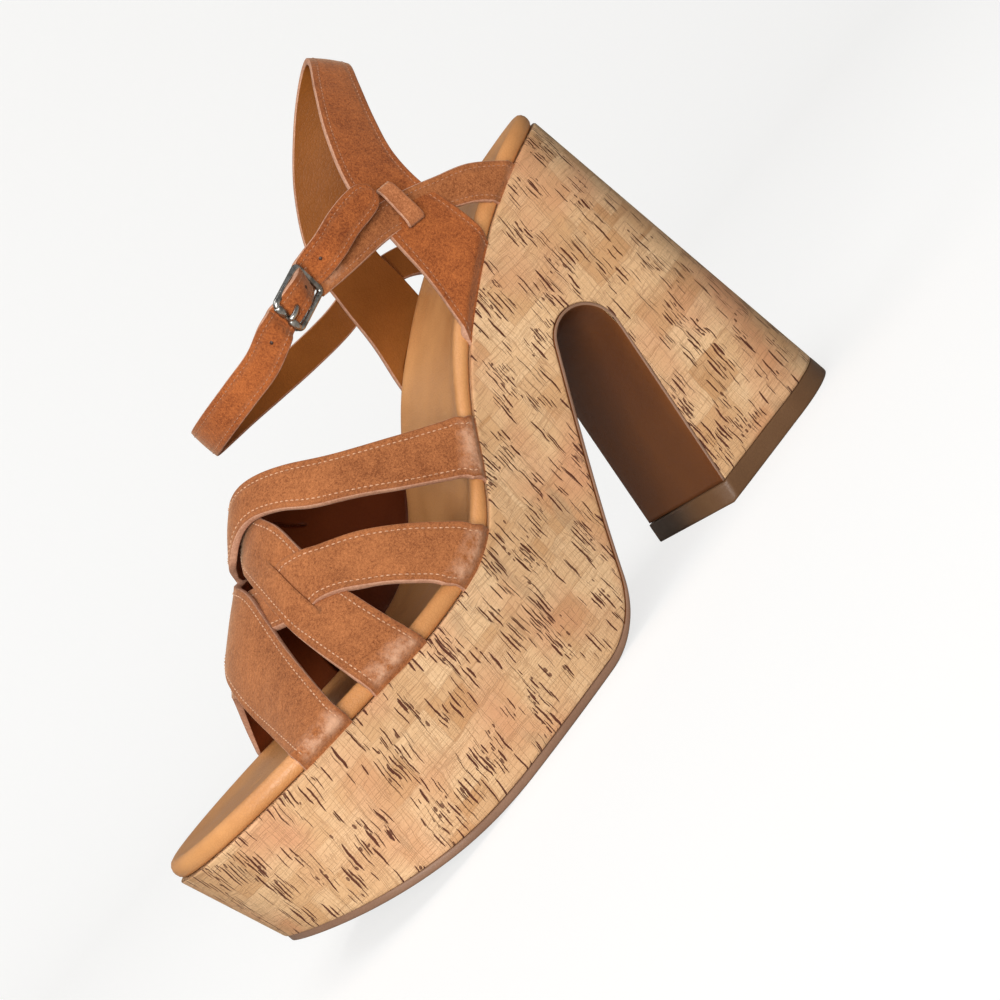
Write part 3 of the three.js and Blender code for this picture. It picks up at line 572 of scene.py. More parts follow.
def cork_material():
    """Cork sheet laid on the walls by the surface UV."""
    material, shader = finish_of("natural_cork", 0.6, Specular_IOR_Level=0.35)
    cork = placed(shader, CORK_SHEET, Where=add(shader.id_data, "ShaderNodeUVMap", uv_map="surface"))
    surface(shader, cork["Colour"], cork["Height"], 0.00035, 0.8, cork["Rough"])
    return material


def thread_material(name, dark, light):
    """Twisted thread: two tones of fibre."""
    material, shader = finish_of(name, 0.7, Sheen_Weight=0.2)
    twist = place(shader).noise(1800, 2)
    surface(shader, twist.ramp(0.35, 0.65).mix(dark, light), twist, 0.0001)
    return material


def metal_material(name, dark, light, roughness):
    """Aged metal in random light and dark patches, partly wear and partly painted reflection; the light
    patches are smoother.
    """
    material, shader = finish_of(name, roughness, Metallic=1.0)
    where = place(shader)
    wear_and_painted_highlight = where.noise(420, 4, 0.6).ramp(0.38, 0.62)
    surface(shader, wear_and_painted_highlight.mix(dark, light), where.noise(1600, 2), 0.00004, rough=wear_and_painted_highlight.ramp(0, 1, 0.34, 0.18))
    return material


# 0.75: share of the rubbed band, with its painted highlight, at the vamp straps' feet
COGNAC_SUEDE = suede_material("cognac_suede", (0.15, 0.038, 0.0095), (0.46, 0.166, 0.056), 0.75)
RUSSET_SUEDE = suede_material("russet_suede", (0.14, 0.027, 0.005), (0.46, 0.134, 0.033))
STRIP_SUEDE = suede_material("strip_suede", (0.22, 0.062, 0.02), (0.56, 0.215, 0.085), groove=0.0)
CUT_EDGE, CORK = cut_edge_material(), cork_material()
# name: dark, light, roughness, depth of the grain, specular level
LINING_PAINTED_SHADE, TAN_LINING, FOOTBED_LEATHER, SOLE_BROWN, BREAST_BROWN, LIFT_BROWN, HOLE_PAINTED_SHADE = [
    plain_grain(name, dark, light, roughness, depth, Specular_IOR_Level=specular)
    for name, dark, light, roughness, depth, specular in (
        # vamp lining: the tan lining darkened by painted shade, as if seen inside the vamp
        ("vamp_lining_painted_shade", (0.08, 0.014, 0.0035), (0.14, 0.03, 0.007), 0.5, 0.0002, 0.2),
        ("tan_lining", (0.19, 0.058, 0.0095), (0.27, 0.09, 0.017), 0.5, 0.0002, 0.2),
        ("footbed_leather", (0.46, 0.19, 0.06), (0.63, 0.3, 0.108), 0.32, 0.00022, 0.5),
        ("sole_brown", (0.2, 0.11, 0.07), (0.27, 0.155, 0.1), 0.5, 0.00012, 0.2),
        ("breast_cover_brown", (0.14, 0.044, 0.014), (0.2, 0.07, 0.022), 0.45, 0.00012, 0.15),
        ("lift_brown", (0.115, 0.056, 0.026), (0.155, 0.08, 0.038), 0.5, 0.00012, 0.25),
        # punched holes: dark discs of painted shade in place of openings
        ("punched_hole_painted_shade", (0.03, 0.01, 0.005), (0.05, 0.018, 0.008), 0.9, 0.0001, 0.5))]
PEACH_THREAD = thread_material("peach_thread", (0.4, 0.19, 0.09), (0.72, 0.42, 0.25))
RUSSET_THREAD = thread_material("russet_thread", (0.27, 0.1, 0.04), (0.5, 0.23, 0.11))
# buckle metal: its light and dark tones are partly painted reflection
OLD_BRASS = metal_material("old_brass", (0.22, 0.21, 0.19), (0.7, 0.68, 0.64), 0.2)
# outer face, cut edge and lining of each kind of strap
# the vamp's lining carries painted shade
VAMP_LAYERS = [COGNAC_SUEDE, CUT_EDGE, LINING_PAINTED_SHADE]
ANKLE_LAYERS, SHORT_LAYERS, STRIP_LAYERS = (
    [outside, CUT_EDGE, TAN_LINING] for outside in (RUSSET_SUEDE, COGNAC_SUEDE, STRIP_SUEDE))


# ------------------------------------------------------------------ platform, sole and lift

def arch_points(cover, sole_cover, count):
    """Side line of the arch from the floor over its round top and down the heel breast to
    the floor, moved into the cork by a cover thickness: an arc, a straight shank, the arc of
    the top and the straight breast, read at equal steps of its length."""
    slope = math.radians(ARCH_SLOPE)
    t = np.linspace(0, 1, 40)
    curve = SOLE_CURVE_RADIUS - (sole_cover + (cover - sole_cover) * t)
    low = np.stack([FLAT_BACK_X - curve * np.sin(slope * t), SOLE_CURVE_RADIUS - curve * np.cos(slope * t)], 1)
    turn = np.pi / 2 - slope + (np.pi + slope - BREAST_LEAN) * np.linspace(0, 1, 60)
    top = np.array(ARCH_TOP) + (ARCH_RADIUS + cover) * np.stack([np.cos(turn), np.sin(turn)], 1)
    foot = top[-1] + np.array([1 / math.tan(BREAST_LEAN), -1]) * top[-1][1]
    line = np.vstack([low, top, foot])
    length = arc_length(line)
    even = np.linspace(0, length[-1], count)
    return np.stack([np.interp(even, length, line[:, k]) for k in range(2)], 1)


def side_stations():
    """The toe's and heel's seam stations, closer together where the outline is round."""
    toe = TOE_ROUND_X + (TOE_END - TOE_ROUND_X) * np.sin(np.linspace(1, 0, 34) * np.pi / 2)
    heel = HEEL_ROUND_X - (HEEL_ROUND_X - HEEL_END) * np.sin(np.linspace(0, 1, 30) * np.pi / 2)
    return toe, heel


TOE_STATIONS, HEEL_STATIONS = side_stations()
# x of the sole's stations from the toe's end of the straight walls to the arch
FLAT_STATIONS = np.linspace(wall_low(np.array([TOE_ROUND_X]))[0][0], FLAT_BACK_X, 26)[1:-1]
ARCH_COUNT, ARCH_FRONT_X, COVER_FRONT_X = 170, -20.0, -4.0


def floor_line(x, lift):
    """Side-view points a lift above the sole's underside."""
    return np.stack([x, floor_z(x) + lift], 1)


def ruled(seam_x, z_low, rows):
    """Rows of side-view points down the rulings from the seam to a height."""
    low_x, low_z, taper = wall_low(seam_x)
    top = seam_z(seam_x)
    down = (top - np.maximum(z_low, low_z)) / (top - low_z)
    w = rows[None, :] * down[:, None]
    x = seam_x[:, None] + w * (low_x - seam_x)[:, None]
    z = top[:, None] + w * (low_z - top)[:, None]
    return x, z, [seam_y(seam_x, side)[:, None] * (1 + w * (taper - 1)[:, None]) for side in (1, -1)]


def cork_platform():
    """Cork block: at toe and heel the rows run down the platform's rulings; between them
    each row is a curve in the side view from the sole, shank, arch or breast line up to the
    seam, and its width is the platform's width there."""
    rows = np.concatenate([[0, 0.004, 0.012, 0.03], np.linspace(0.06, 0.94, 26), [0.97, 0.988, 0.996, 1]])
    toe = ruled(TOE_STATIONS, floor_z(wall_low(TOE_STATIONS)[0]) + SOLE + GLUE, rows)
    heel = ruled(HEEL_STATIONS, LIFT + GLUE, rows)
    flat = floor_line(FLAT_STATIONS, SOLE + GLUE)
    arch = arch_points(COVER + GLUE, SOLE + GLUE, ARCH_COUNT)
    arch = arch[(arch[:, 1] > LIFT + GLUE) | (arch[:, 0] > ARCH_FRONT_X)]
    breast_x, back_x = arch[-1][0], wall_low(np.array([HEEL_ROUND_X]))[0][0]
    under = np.stack([np.linspace(breast_x, back_x, 22), np.full(22, LIFT + GLUE)], 1)[:-1]
    low = np.vstack([flat, arch, under])
    first, number = len(flat), np.arange(len(low))
    # number of a point on the low line, and x of the seam that its row rises to
    knots = np.array([[0, TOE_ROUND_X], [first, 22.0], [first + 60, -34.0], [first + 96, -57.0],
                      [first + 122, -67.0], [first + len(arch), -82.0], [len(low), HEEL_ROUND_X]])
    seam_x = np.interp(number + 0.5, knots[:, 0], knots[:, 1])
    seam_x = np.convolve(np.pad(seam_x, 8, mode="edge"), np.ones(17) / 17, mode="valid")
    seam_x = np.clip(seam_x, HEEL_ROUND_X + 0.05, TOE_ROUND_X - 0.05)
    high = np.stack([seam_x, seam_z(seam_x)], 1)
    # behind the arch the rows bow back, so that they don't cross its round top
    pull = smoothstep(first + 108, first + 128, number) * smoothstep(back_x, breast_x - 12, low[:, 0])
    control = (low + high) / 2 + pull[:, None] * np.array([-9.0, 4.0])
    w = 1 - rows[None, :, None]
    curve = (1 - w) ** 2 * low[:, None] + 2 * w * (1 - w) * control[:, None] + w**2 * high[:, None]
    x, z = curve[..., 0], curve[..., 1]
    y = [np.vstack([toe[2][k], wall_y(x, z, side)[0], heel[2][k]]) for k, side in enumerate((1, -1))]
    return rows, np.vstack([toe[0], x, heel[0]]), np.vstack([toe[1], z, heel[1]]), y


def build_cork():
    """Cork block with its edges drawn in by a small radius. Its UV runs round the platform and
    up, with the grain sheared by CORK_LEAN."""
    rows, x, z, y = cork_platform()
    tall = np.hypot(x[:, 0] - x[:, -1], z[:, 0] - z[:, -1])[:, None]
    depth = np.clip(CORK_RIM - tall * np.minimum(rows, 1 - rows), 0, CORK_RIM)
    around = np.concatenate(side_section(x, z, y, CORK_RIM - np.sqrt(CORK_RIM**2 - depth**2)), 1)
    plan_x = np.linspace(HEEL_END, TOE_END, 3000)
    run = arc_length(np.stack([plan_x, seam_y(plan_x, 1)], 1))
    seam_x = wall_y(x, z, 1)[1]
    seam_x[:len(TOE_STATIONS)] = TOE_STATIONS[:, None]
    seam_x[-len(HEEL_STATIONS):] = HEEL_STATIONS[:, None]
    lean = np.interp(seam_x, [HEEL_END, TOE_END], CORK_LEAN)
    u = run[-1] - np.interp(seam_x, plan_x, run) + lean * (seam_z(seam_x) - z)
    # the inner wall starts 700 mm on, on another part of the sheet
    uv = np.stack([np.hstack([u, 700 - u[:, ::-1], u[:, :1]]), np.hstack([z, z[:, ::-1], z[:, :1]])], -1)
    return loft("cork_cover", around, [CORK], uv, caps=False)


def sole_strip():
    """Outsole and arch cover in one strip: between the line that touches the ground or the
    open arch and the line against the cork, out to the platform's walls. Its visible face
    behind the shank's foot is the darker arch cover."""
    toe_count, steps = len(TOE_STATIONS), 11
    front_x = np.concatenate([wall_low(TOE_STATIONS)[0], FLAT_STATIONS])
    outer_arch = arch_points(0, 0, ARCH_COUNT)
    keep = (outer_arch[:, 1] > LIFT + 2 * GLUE) | (outer_arch[:, 0] > ARCH_FRONT_X)
    low = np.vstack([floor_line(front_x, 0), outer_arch[keep]])
    high = np.vstack([floor_line(front_x, SOLE), arch_points(COVER, SOLE, ARCH_COUNT)[keep]])
    rows = np.array([0, 0.08, 0.3, 0.7, 0.92, 1.0])
    draw_in = np.array([0.5, 0.15, 0.0, 0.0, 0.1, 0.25])
    line = low[:, None] * (1 - rows[None, :, None]) + high[:, None] * rows[None, :, None]
    x, z = line[..., 0], line[..., 1]
    y = [wall_y(x, z, side)[0] for side in (1, -1)]
    for side, wall in zip((1, -1), y):
        wall[:toe_count] = ruled_y(TOE_STATIONS, z[:toe_count], side)
    outer, inner = side_section(x, z, y, draw_in - GLUE)
    across = np.linspace(0, 1, steps + 2)[None, 1:-1, None]
    top = outer[:, -1:] * (1 - across) + inner[:, :1] * across
    bottom = inner[:, -1:] * (1 - across) + outer[:, :1] * across
    rings = np.concatenate([outer, top, inner, bottom], 1)
    uv = np.zeros((len(rings), rings.shape[1] + 1, 2))
    uv[..., 0] = arc_length(low)[:, None]
    uv[:, :-1, 1] = rings[..., 1]
    piece = loft("sole_and_arch_cover", rings, [SOLE_BROWN, BREAST_BROWN], uv)
    faces = piece.data.polygons
    centres, facing = np.zeros(len(faces) * 3), np.zeros(len(faces) * 3)
    faces.foreach_get("center", centres)
    faces.foreach_get("normal", facing)
    behind = (centres.reshape(-1, 3) / MM - SHIFT)[:, 0] < COVER_FRONT_X
    covered = behind & (np.abs(facing.reshape(-1, 3)[:, 1]) < 0.6)  # not the strip's side edges
    faces.foreach_set("material_index", covered.astype(np.int32))
    return piece


def top_lift():
    """Walking layer of the heel: stations from the breast back to the heel's end, each a
    flat section with softened corners."""
    back_x = wall_low(HEEL_STATIONS)[0]
    front = np.linspace(BREAST_FOOT_X, back_x[0], 14)[:-1]
    z = np.array([0, 0.1, 0.5, 1.2, LIFT - 1.2, LIFT - 0.4, LIFT])
    draw_in = np.array([0.5, 0.2, 0.03, 0, 0, 0.03, 0.1])
    leaning = np.linspace(1, 0, len(front))[:, None] * -z / math.tan(BREAST_LEAN)
    rise = z / seam_z(HEEL_STATIONS)[:, None]
    x = np.vstack([front[:, None] + leaning,
                   back_x[:, None] + rise * (HEEL_STATIONS - back_x)[:, None]])
    z = np.broadcast_to(z, x.shape)
    y = [np.vstack([wall_y(x[:len(front)], z[:len(front)], side)[0],
                    ruled_y(HEEL_STATIONS, z[len(front):], side)]) for side in (1, -1)]
    return loft("heel_top_lift", np.concatenate(side_section(x, z, y, draw_in - 0.05), 1), [LIFT_BROWN])


# ------------------------------------------------------------------ footbed

def seam_loop():
    """Closed plan of the seam, outer side from heel to toe and inner side back."""
    middle = np.linspace(HEEL_ROUND_X, TOE_ROUND_X, 90)[1:-1]
    xs = np.concatenate([HEEL_STATIONS[::-1], middle, TOE_STATIONS[::-1]])
    back = xs[-2:0:-1]
    return np.stack([np.concatenate([xs, back]), np.concatenate([seam_y(xs, 1), seam_y(back, -1)])], 1)


def inset(loop, distance):
    """Loop moved inwards, square to its own outline."""
    run = unit(np.roll(loop, -1, 0) - np.roll(loop, 1, 0))
    return loop + np.stack([run[:, 1], -run[:, 0]], 1) * distance


# columns: distance in from the footbed's edge, height above the seam, along the roll
ROLL_SECTION = np.array([
    [5.0, 0.5], [2.2, 0.15], [0.9, 0.5], [0.25, 1.3], [0.0, 2.4], [0.05, 3.4], [0.5, 4.5], [1.3, 5.3],
    [2.4, 5.65], [3.6, 5.55], [4.9, 5.2], [6.6, 4.75], [9.0, 4.35], [12.0, 4.1]])
BED_INSET, BED_DISH, MIDDLE_LINE = 0.6, 0.4, 0.8  # dish in mm, length of the middle line as a share


def mates(ring):
    """Each point's partner straight across the foot."""
    return np.roll(ring[::-1], 1, 0)


def footbed():
    """Padded board: loops inset from the seam and lifted along the roll's section, then drawn
    on to the middle line of the foot, slightly dished."""
    loop = inset(seam_loop(), BED_INSET)
    rings = []
    for distance, lift in ROLL_SECTION:
        moved = inset(loop, distance)
        rings.append(np.column_stack([moved, seam_z(moved[:, 0]) + lift]))
    last = rings[-1]
    centre = (last + mates(last)) / 2
    centre[:, 0] *= MIDDLE_LINE
    for share in (0.2, 0.45, 0.7, 0.9, 1.0):
        ring = last * (1 - share) + centre * share
        ring[:, 2] = seam_z(ring[:, 0]) + ROLL_SECTION[-1, 1] - BED_DISH * share
        rings.append(ring)
    grid = np.stack([(rings[0] + mates(rings[0])) / 2, *rings], 1)
    rows, columns = grid.shape[:2]
    uv = np.zeros((rows + 1, columns, 2))
    uv[..., 0] = arc_length(np.vstack([loop, loop[:1]]))[:, None]
    uv[..., 1] = np.arange(columns)
    return mesh_piece("footbed_cover", grid, quads(rows, columns, round_rows=True), [FOOTBED_LEATHER],
                      corners(uv))


# ------------------------------------------------------------------ straps

ACROSS = np.array([0, 0.012, 0.04, 0.1, 0.18, 0.3, 0.42, 0.5, 0.58, 0.7, 0.82, 0.9, 0.96, 0.988, 1.0])
SLIT_ACROSS = np.insert(ACROSS, 7, 0.5)
SLIT_GAP = np.array([-0.55, 0.1])  # mm that the slit's back and front lips move apart
EDGE_DEPTH = np.array([0.12, 0.3, 0.5, 0.7, 0.88])   # share of the thickness, going in
EDGE_BULGE = np.array([0.16, 0.26, 0.3, 0.26, 0.16])  # mm
CROWN = 1 - (2 * ACROSS - 1) ** 2                     # share of a strap's crown


def grid_normals(grid, slit=False):
    """Unit normals of a grid, across x along, from differences of its neighbours; the halves
    of a slit strap have their own."""
    if slit:
        half = grid.shape[1] // 2
        return np.concatenate([grid_normals(grid[:, :half]), grid_normals(grid[:, half:])], 1)
    return unit(np.cross(np.gradient(grid, axis=1), np.gradient(grid, axis=0)))


def strap_body(name, outer, thickness, layers, slit=False):
    """Strap from its outer face, a grid (rows along, columns across): the inner face lies a
    thickness under it, and both cut edges bulge a little. Its edge and end attributes are the
    distance to the nearest cut edge and to the nearest end."""
    normal = grid_normals(outer, slit)
    inner = outer - normal * thickness

    def cut_edge(column, beside):
        """Points down one cut edge, pushed out from its neighbour column by the bulge."""
        way = unit(outer[:, column] - outer[:, beside])
        return (outer[:, column, None] - normal[:, column, None] * (EDGE_DEPTH * thickness)[None, :, None]
                + way[:, None] * EDGE_BULGE[None, :, None])

    rings = np.concatenate([outer, cut_edge(-1, -2), inner[:, ::-1], cut_edge(0, 1)[:, ::-1]], 1)
    m, k = outer.shape[1], len(EDGE_DEPTH)
    kinds = np.repeat([0, 1, 2, 1], [m - 1, k + 1, m - 1, k + 1])
    if slit:
        kinds[m // 2 - 1] = 2
    width = np.linalg.norm(np.diff(outer, axis=1), axis=2).cumsum(1)
    width = np.hstack([np.zeros((len(outer), 1)), width])
    near, cut = np.minimum(width, width[:, -1:] - width), np.zeros((len(outer), k))
    distance = np.hstack([near, cut, near[:, ::-1], cut])
    run = arc_length(outer[:, m // 2])
    end = np.broadcast_to(np.minimum(run, run[-1] - run)[:, None], distance.shape)
    uv = np.zeros((len(rings), rings.shape[1] + 1, 2))
    uv[..., 0] = run[:, None]
    uv[:, :m, 1] = width
    uv[:, m:m + k, 1] = width[:, -1:] + 1
    uv[:, m + k:m + k + m, 1] = width[:, ::-1] + 40
    return loft(name, rings, layers, uv, kinds, attributes={"edge": distance, "end": end})


def read_grid(grid, part):
    """Points of a grid at a share of its width, one per row."""
    shares = SLIT_ACROSS if grid.shape[1] == len(SLIT_ACROSS) else ACROSS
    i = np.clip(np.searchsorted(shares, part) - 1, 0, len(shares) - 2)
    t = ((part - shares[i]) / (shares[i + 1] - shares[i]))[:, None]
    rows = np.arange(len(grid))
    return grid[rows, i] * (1 - t) + grid[rows, i + 1] * t


def stitch_lines(outer, inset_mm, first, last):
    """Points and normals of the two lines a distance in from the edges of a strap's outer
    face, between two shares of its length."""
    width = np.linalg.norm(np.diff(outer, axis=1), axis=2).sum(1)
    part = np.clip(inset_mm / width, 0, 0.5)
    rows = slice(int(first * (len(outer) - 1)), int(last * (len(outer) - 1)) + 1)
    return [(read_grid(outer, share)[rows], read_grid(grid_normals(outer), share)[rows])
            for share in (part, 1 - part)]


VAMP_STITCH = (1.6, 1.1, 0.17)     # pitch, length and radius of a stitch
ANKLE_STITCH = (1.45, 0.95, 0.12)
STITCH_ENDS = np.array([-1, -0.82, -0.45, 0, 0.45, 0.82, 1])
STITCH_GIRTH = np.array([0.05, 0.6, 0.95, 1, 0.95, 0.6, 0.05])
STITCH_LIFT = np.array([-0.16, -0.02, 0.05, 0.07, 0.05, -0.02, -0.16])


def stitches(name, lines, size, thread):
    """Row of stitches along each line: one small closed spindle per stitch, turned to the
    line, slightly sunk into the leather at its ends."""
    pitch, length, radius = size
    ring = np.arange(6) * np.pi / 3
    forms = []
    for line, normal in lines:
        run = arc_length(line)
        at = np.arange(pitch * 0.6, run[-1] - pitch * 0.5, pitch)
        read = lambda values, s: np.stack([np.interp(s, run, values[:, k]) for k in range(3)], -1)
        up, way = unit(read(normal, at)), unit(read(line, at + 0.4) - read(line, at - 0.4))
        side = unit(np.cross(up, way))
        girth = STITCH_GIRTH[:, None, None] * radius
        forms.append(read(line, at)[:, None, None]
                     + way[:, None, None] * (STITCH_ENDS * length / 2)[:, None, None]
                     + side[:, None, None] * (girth * np.cos(ring)[:, None])
                     + up[:, None, None] * (girth * np.sin(ring)[:, None] + STITCH_LIFT[:, None, None]))
    forms = np.concatenate(forms)
    count, rows, columns = forms.shape[:3]
    cap = np.array([[0, 1, 2, 3], [0, 3, 4, 5]])
    one = np.vstack([quads(rows, columns, round_columns=True), cap[:, ::-1], cap + (rows - 1) * columns])
    return mesh_piece(name, forms, copies(one, count, rows * columns), [thread])


def band_edges(band, a):
    """x of the back and front edge of a vamp strap at a signed share across the foot. On the
    inner side the feet are moved by MEDIAL_SHIFT, most of it near the ridge."""
    weave, sweep_side, row = BANDS[band]
    sweeping = np.sign(np.where(a == 0, 1, a)) == sweep_side
    reach = np.abs(a)
    square = np.minimum(reach, 1) ** 2
    onset = np.where(a < 0, 1.12 * square / (square + 0.12), 0)
    shift = onset * np.where(sweeping, MEDIAL_SHIFT[row], MEDIAL_SHIFT["drop"])
    return [np.where(sweeping, along(weave, reach, sweep), along(weave, reach, drop)) + shift
            for sweep, drop in ((1, 3), (2, 4))]


def share_in(band, x, a):
    """Where x lies between a band's back (0) and front (1) edge."""
    back, front = band_edges(band, a)
    return (x - back) / (front - back)


def window(share, soft=0.3):
    """1 within a band, falling to 0 at a share soft outside it."""
    return smoothstep(-soft, 0.05, share) * smoothstep(-soft, 0.05, 1 - share)


def beside_ridge(a, side):
    """0 on the ridge and beyond it, rising to 1 on one side of the foot."""
    return smoothstep(0.02, 0.16, a * side)


def slit_open(band, x, a):
    """How far a strap's slit is open, 0 to 1: where another strap goes through it."""
    for threaded, slit, side in THREADED:
        if band == slit:
            return window(share_in(threaded, x, a), 0.1) * beside_ridge(a, side)
    return np.zeros_like(x)


def weave_lift(band, x, a, back_half):
    """How far a vamp strap is raised or lowered by the straps that it crosses: over or under
    on the ridge, and through the slit in the strap that drops beside the ridge, over its back
    half and under its front half. A slit strap's two halves part by a step at the slit."""
    lift = np.zeros_like(x)
    if band in OVER_RIDGE:
        lift += OVER_RIDGE[band] * (1 - smoothstep(0.0, 0.55, np.abs(a)))
    if band in CROSSED_BY:
        lift += UNDER_RIDGE * window(share_in(CROSSED_BY[band], x, a))
    for threaded, slit, side in THREADED:
        if band == threaded:
            share = share_in(slit, x, a)
            lift += WEAVE_LIFT * np.tanh((0.5 - share) / 0.06) * window(share) * beside_ridge(a, side)
    return lift + WEAVE_LIFT * np.where(back_half, -1.0, 0.9) * slit_open(band, x, a)


def form_point(x, a, lift):
    """Outer face of the vamp: a dome over the foot. Its half width follows the seam, and its
    height falls from the ridge to the footbed roll as (1 - a^1.9)^(1/1.15)."""
    side = np.where(a < 0, -1.0, 1.0)
    outer, inner = seam_y(x, 1), seam_y(x, -1)
    half = (outer - inner) / 2 + STRAP_PROUD + lift
    foot = seam_z(x) + ROLL
    reach = np.minimum(np.abs(a), 1)
    arch = (1 - reach**1.9) ** (1 / 1.15)
    ridge = along(RIDGE, x) + lift
    return np.stack([x, (outer + inner) / 2 + side * half * reach, foot + (ridge - foot) * arch], -1)


def tucked(face):
    """Draws a strap's outer face in towards its seam, so that its end goes down between the
    footbed roll and the cork: the limit grows with the height above the seam."""
    x, y, z = face[..., 0], face[..., 1], face[..., 2]
    height = z - seam_z(x)
    at_seam = np.where(y > 0, seam_y(x, 1), -seam_y(x, -1))
    limit = at_seam - 0.5 + 2.1 * smoothstep(-0.2, 3.0, height) + 5 * np.maximum(height - 3, 0)
    return np.stack([x, np.sign(y) * np.minimum(np.abs(y), limit), z], -1)


def vamp_face(band, shares):
    """Outer face of one vamp strap, from its outer foot over the ridge to its inner foot. At
    each foot it runs down beside the roll into the seam. A slit strap has its middle column
    twice, once for each half."""
    turn = np.sin(np.linspace(np.pi / 2, -np.pi / 2, 161))
    down = np.linspace(0.125, 0.0125, 9)
    a = np.concatenate([1 + down, turn, -1 - down[::-1]])[:, None]
    back, front = band_edges(band, a)
    x = back + (front - back) * shares[None, :]
    a = np.broadcast_to(a, x.shape)
    back_half = np.broadcast_to(np.arange(len(shares)) < len(shares) / 2, x.shape)
    if len(shares) > len(ACROSS):
        lips = slice(len(shares) // 2 - 1, len(shares) // 2 + 1)
        x[:, lips] += slit_open(band, x[:, lips], a[:, lips]) * SLIT_GAP
    face = form_point(x, a, weave_lift(band, x, a, back_half))
    face[..., 2] -= np.maximum(np.abs(a) - 1, 0) * 10 * ROLL
    for _ in range(3):
        face[1:-1] = (face[:-2] + 2 * face[1:-1] + face[2:]) / 4
    return tucked(face)[:, ::-1]


def build_vamp():
    """The four vamp straps and their stitches; the two that drop beside the ridge are slit."""
    made = []
    for band in BANDS:
        slit = band in "ac"
        face = vamp_face(band, SLIT_ACROSS if slit else ACROSS)
        made.append(strap_body(f"vamp_strap_{band}", face, STRAP_THICK, VAMP_LAYERS, slit))
        made.append(stitches(f"vamp_stitches_{band}", stitch_lines(face, 1.9, 0.035, 0.965),
                             VAMP_STITCH, PEACH_THREAD))
    return made


# ------------------------------------------------------------------ quarter and ankle straps

# columns: x, z, y of the front edge, then of the back edge, from seam to tendon
QUARTER = np.array([
    [-36.8, 82.2, 33.3, -64.1, 98.2, 32.8], [-37.4, 85.0, 33.3, -64.4, 100.6, 32.8],
    [-39.6, 94.0, 33.3, -65.0, 107.0, 32.4], [-42.8, 106.0, 32.4, -65.2, 116.0, 30.6],
    [-45.2, 121.0, 31.0, -65.0, 126.2, 28.2], [-48.6, 137.6, 28.4, -68.2, 137.4, 23.8],
    [-58.6, 153.6, 23.0, -75.0, 148.4, 18.2], [-70.8, 166.4, 15.4, -82.8, 158.8, 12.4],
    [-79.8, 174.0, 8.0, -88.4, 165.0, 6.6], [-82.8, 176.4, 0, -90.6, 167.2, 0]])
# columns: x, y, z of the middle line, width
SHORT_STRAP = np.array([
    [-88.0, 31.0, 100.2, 13.4], [-84.4, 31.7, 105.2, 12.8], [-80.6, 31.9, 109.6, 12.0],
    [-75.0, 31.9, 114.6, 10.8], [-67.0, 30.8, 119.0, 9.6], [-57.0, 30.9, 123.2, 9.2],
    [-46.0, 32.2, 126.0, 9.0], [-32.0, 33.2, 127.0, 9.0], [-18.8, 34.2, 127.6, 9.0]])
LONG_STRAP = np.array([
    [-88.0, -31.0, 100.2, 13.4], [-84.4, -31.7, 105.2, 12.8], [-80.6, -31.9, 109.6, 12.0],
    [-75.0, -31.9, 114.2, 10.8], [-67.0, -30.8, 117.6, 9.6], [-55.0, -31.2, 119.4, 9.6],
    [-40.0, -32.6, 118.6, 9.6], [-26.0, -32.4, 119.2, 9.6], [-11.0, -30.2, 120.4, 9.6],
    [2.0, -25.6, 121.4, 9.6], [13.0, -18.8, 121.8, 9.6], [21.0, -10.0, 121.9, 9.6],
    [24.0, 0.0, 121.9, 9.6], [21.6, 10.6, 122.2, 9.6], [14.4, 20.4, 122.8, 9.6],
    [6.0, 27.8, 123.7, 9.6]])
LONG_STRAP_TAIL = np.array([
    [-28.0, 36.6, 131.4, 9.6], [-36.0, 36.2, 132.9, 9.6], [-43.4, 35.4, 133.4, 9.5],
    [-47.2, 34.9, 133.5, 8.2], [-49.6, 34.6, 133.5, 4.4]])
ANKLE_THICK = 1.8
# columns: run along the buckle, distance out from it, width, of the long strap in the frame
BUCKLE_WAVE = np.array([
    [11.4, -2.0, 9.4], [7.4, -2.2, 9.0], [4.0, 0.2, 8.4], [0.0, 2.2, 8.2], [-4.0, 0.5, 8.4],
    [-7.4, -1.9, 9.0], [-11.4, -0.4, 9.6]])
WAVE_RISE, WAVE_REACH = 1.6, 5.0  # how far the strap rises towards the middle bar, and over what run
BUCKLE_AT = np.array([-11.5, 35.4, 128.1])
BUCKLE_TURN, BUCKLE_YAW, BUCKLE_LEAN, LEAN_REACH = 14.1, -5.9, 28.0, 14.0
BUCKLE_LONG, BUCKLE_HIGH, BUCKLE_CORNER, WIRE = 15.4, 12.4, 1.3, 0.95
HOLES_AT = (-23.9, -14.0, 2.6)  # x of the holes of the long strap
ANKLE_MIDDLE = np.array([-30.0, 0.0, 120.0])

# axes of the buckle: along the strap, outwards, up
BUCKLE_AXES = np.array(Matrix.Rotation(math.radians(-BUCKLE_YAW), 3, "Z")
                       @ Matrix.Rotation(math.radians(BUCKLE_TURN), 3, "Y")
                       @ Matrix.Rotation(math.radians(-BUCKLE_LEAN), 3, "X")).T


def at_buckle(points):
    """Points in the buckle's own axes, moved to its place."""
    return BUCKLE_AT + np.asarray(points) @ BUCKLE_AXES


def outwards(face):
    """Turns a face's columns over when its normals point towards the ankle's middle."""
    away = ((face - ANKLE_MIDDLE) * grid_normals(face) * np.array([1, 1, 0])).sum()
    return face if away > 0 else face[:, ::-1]


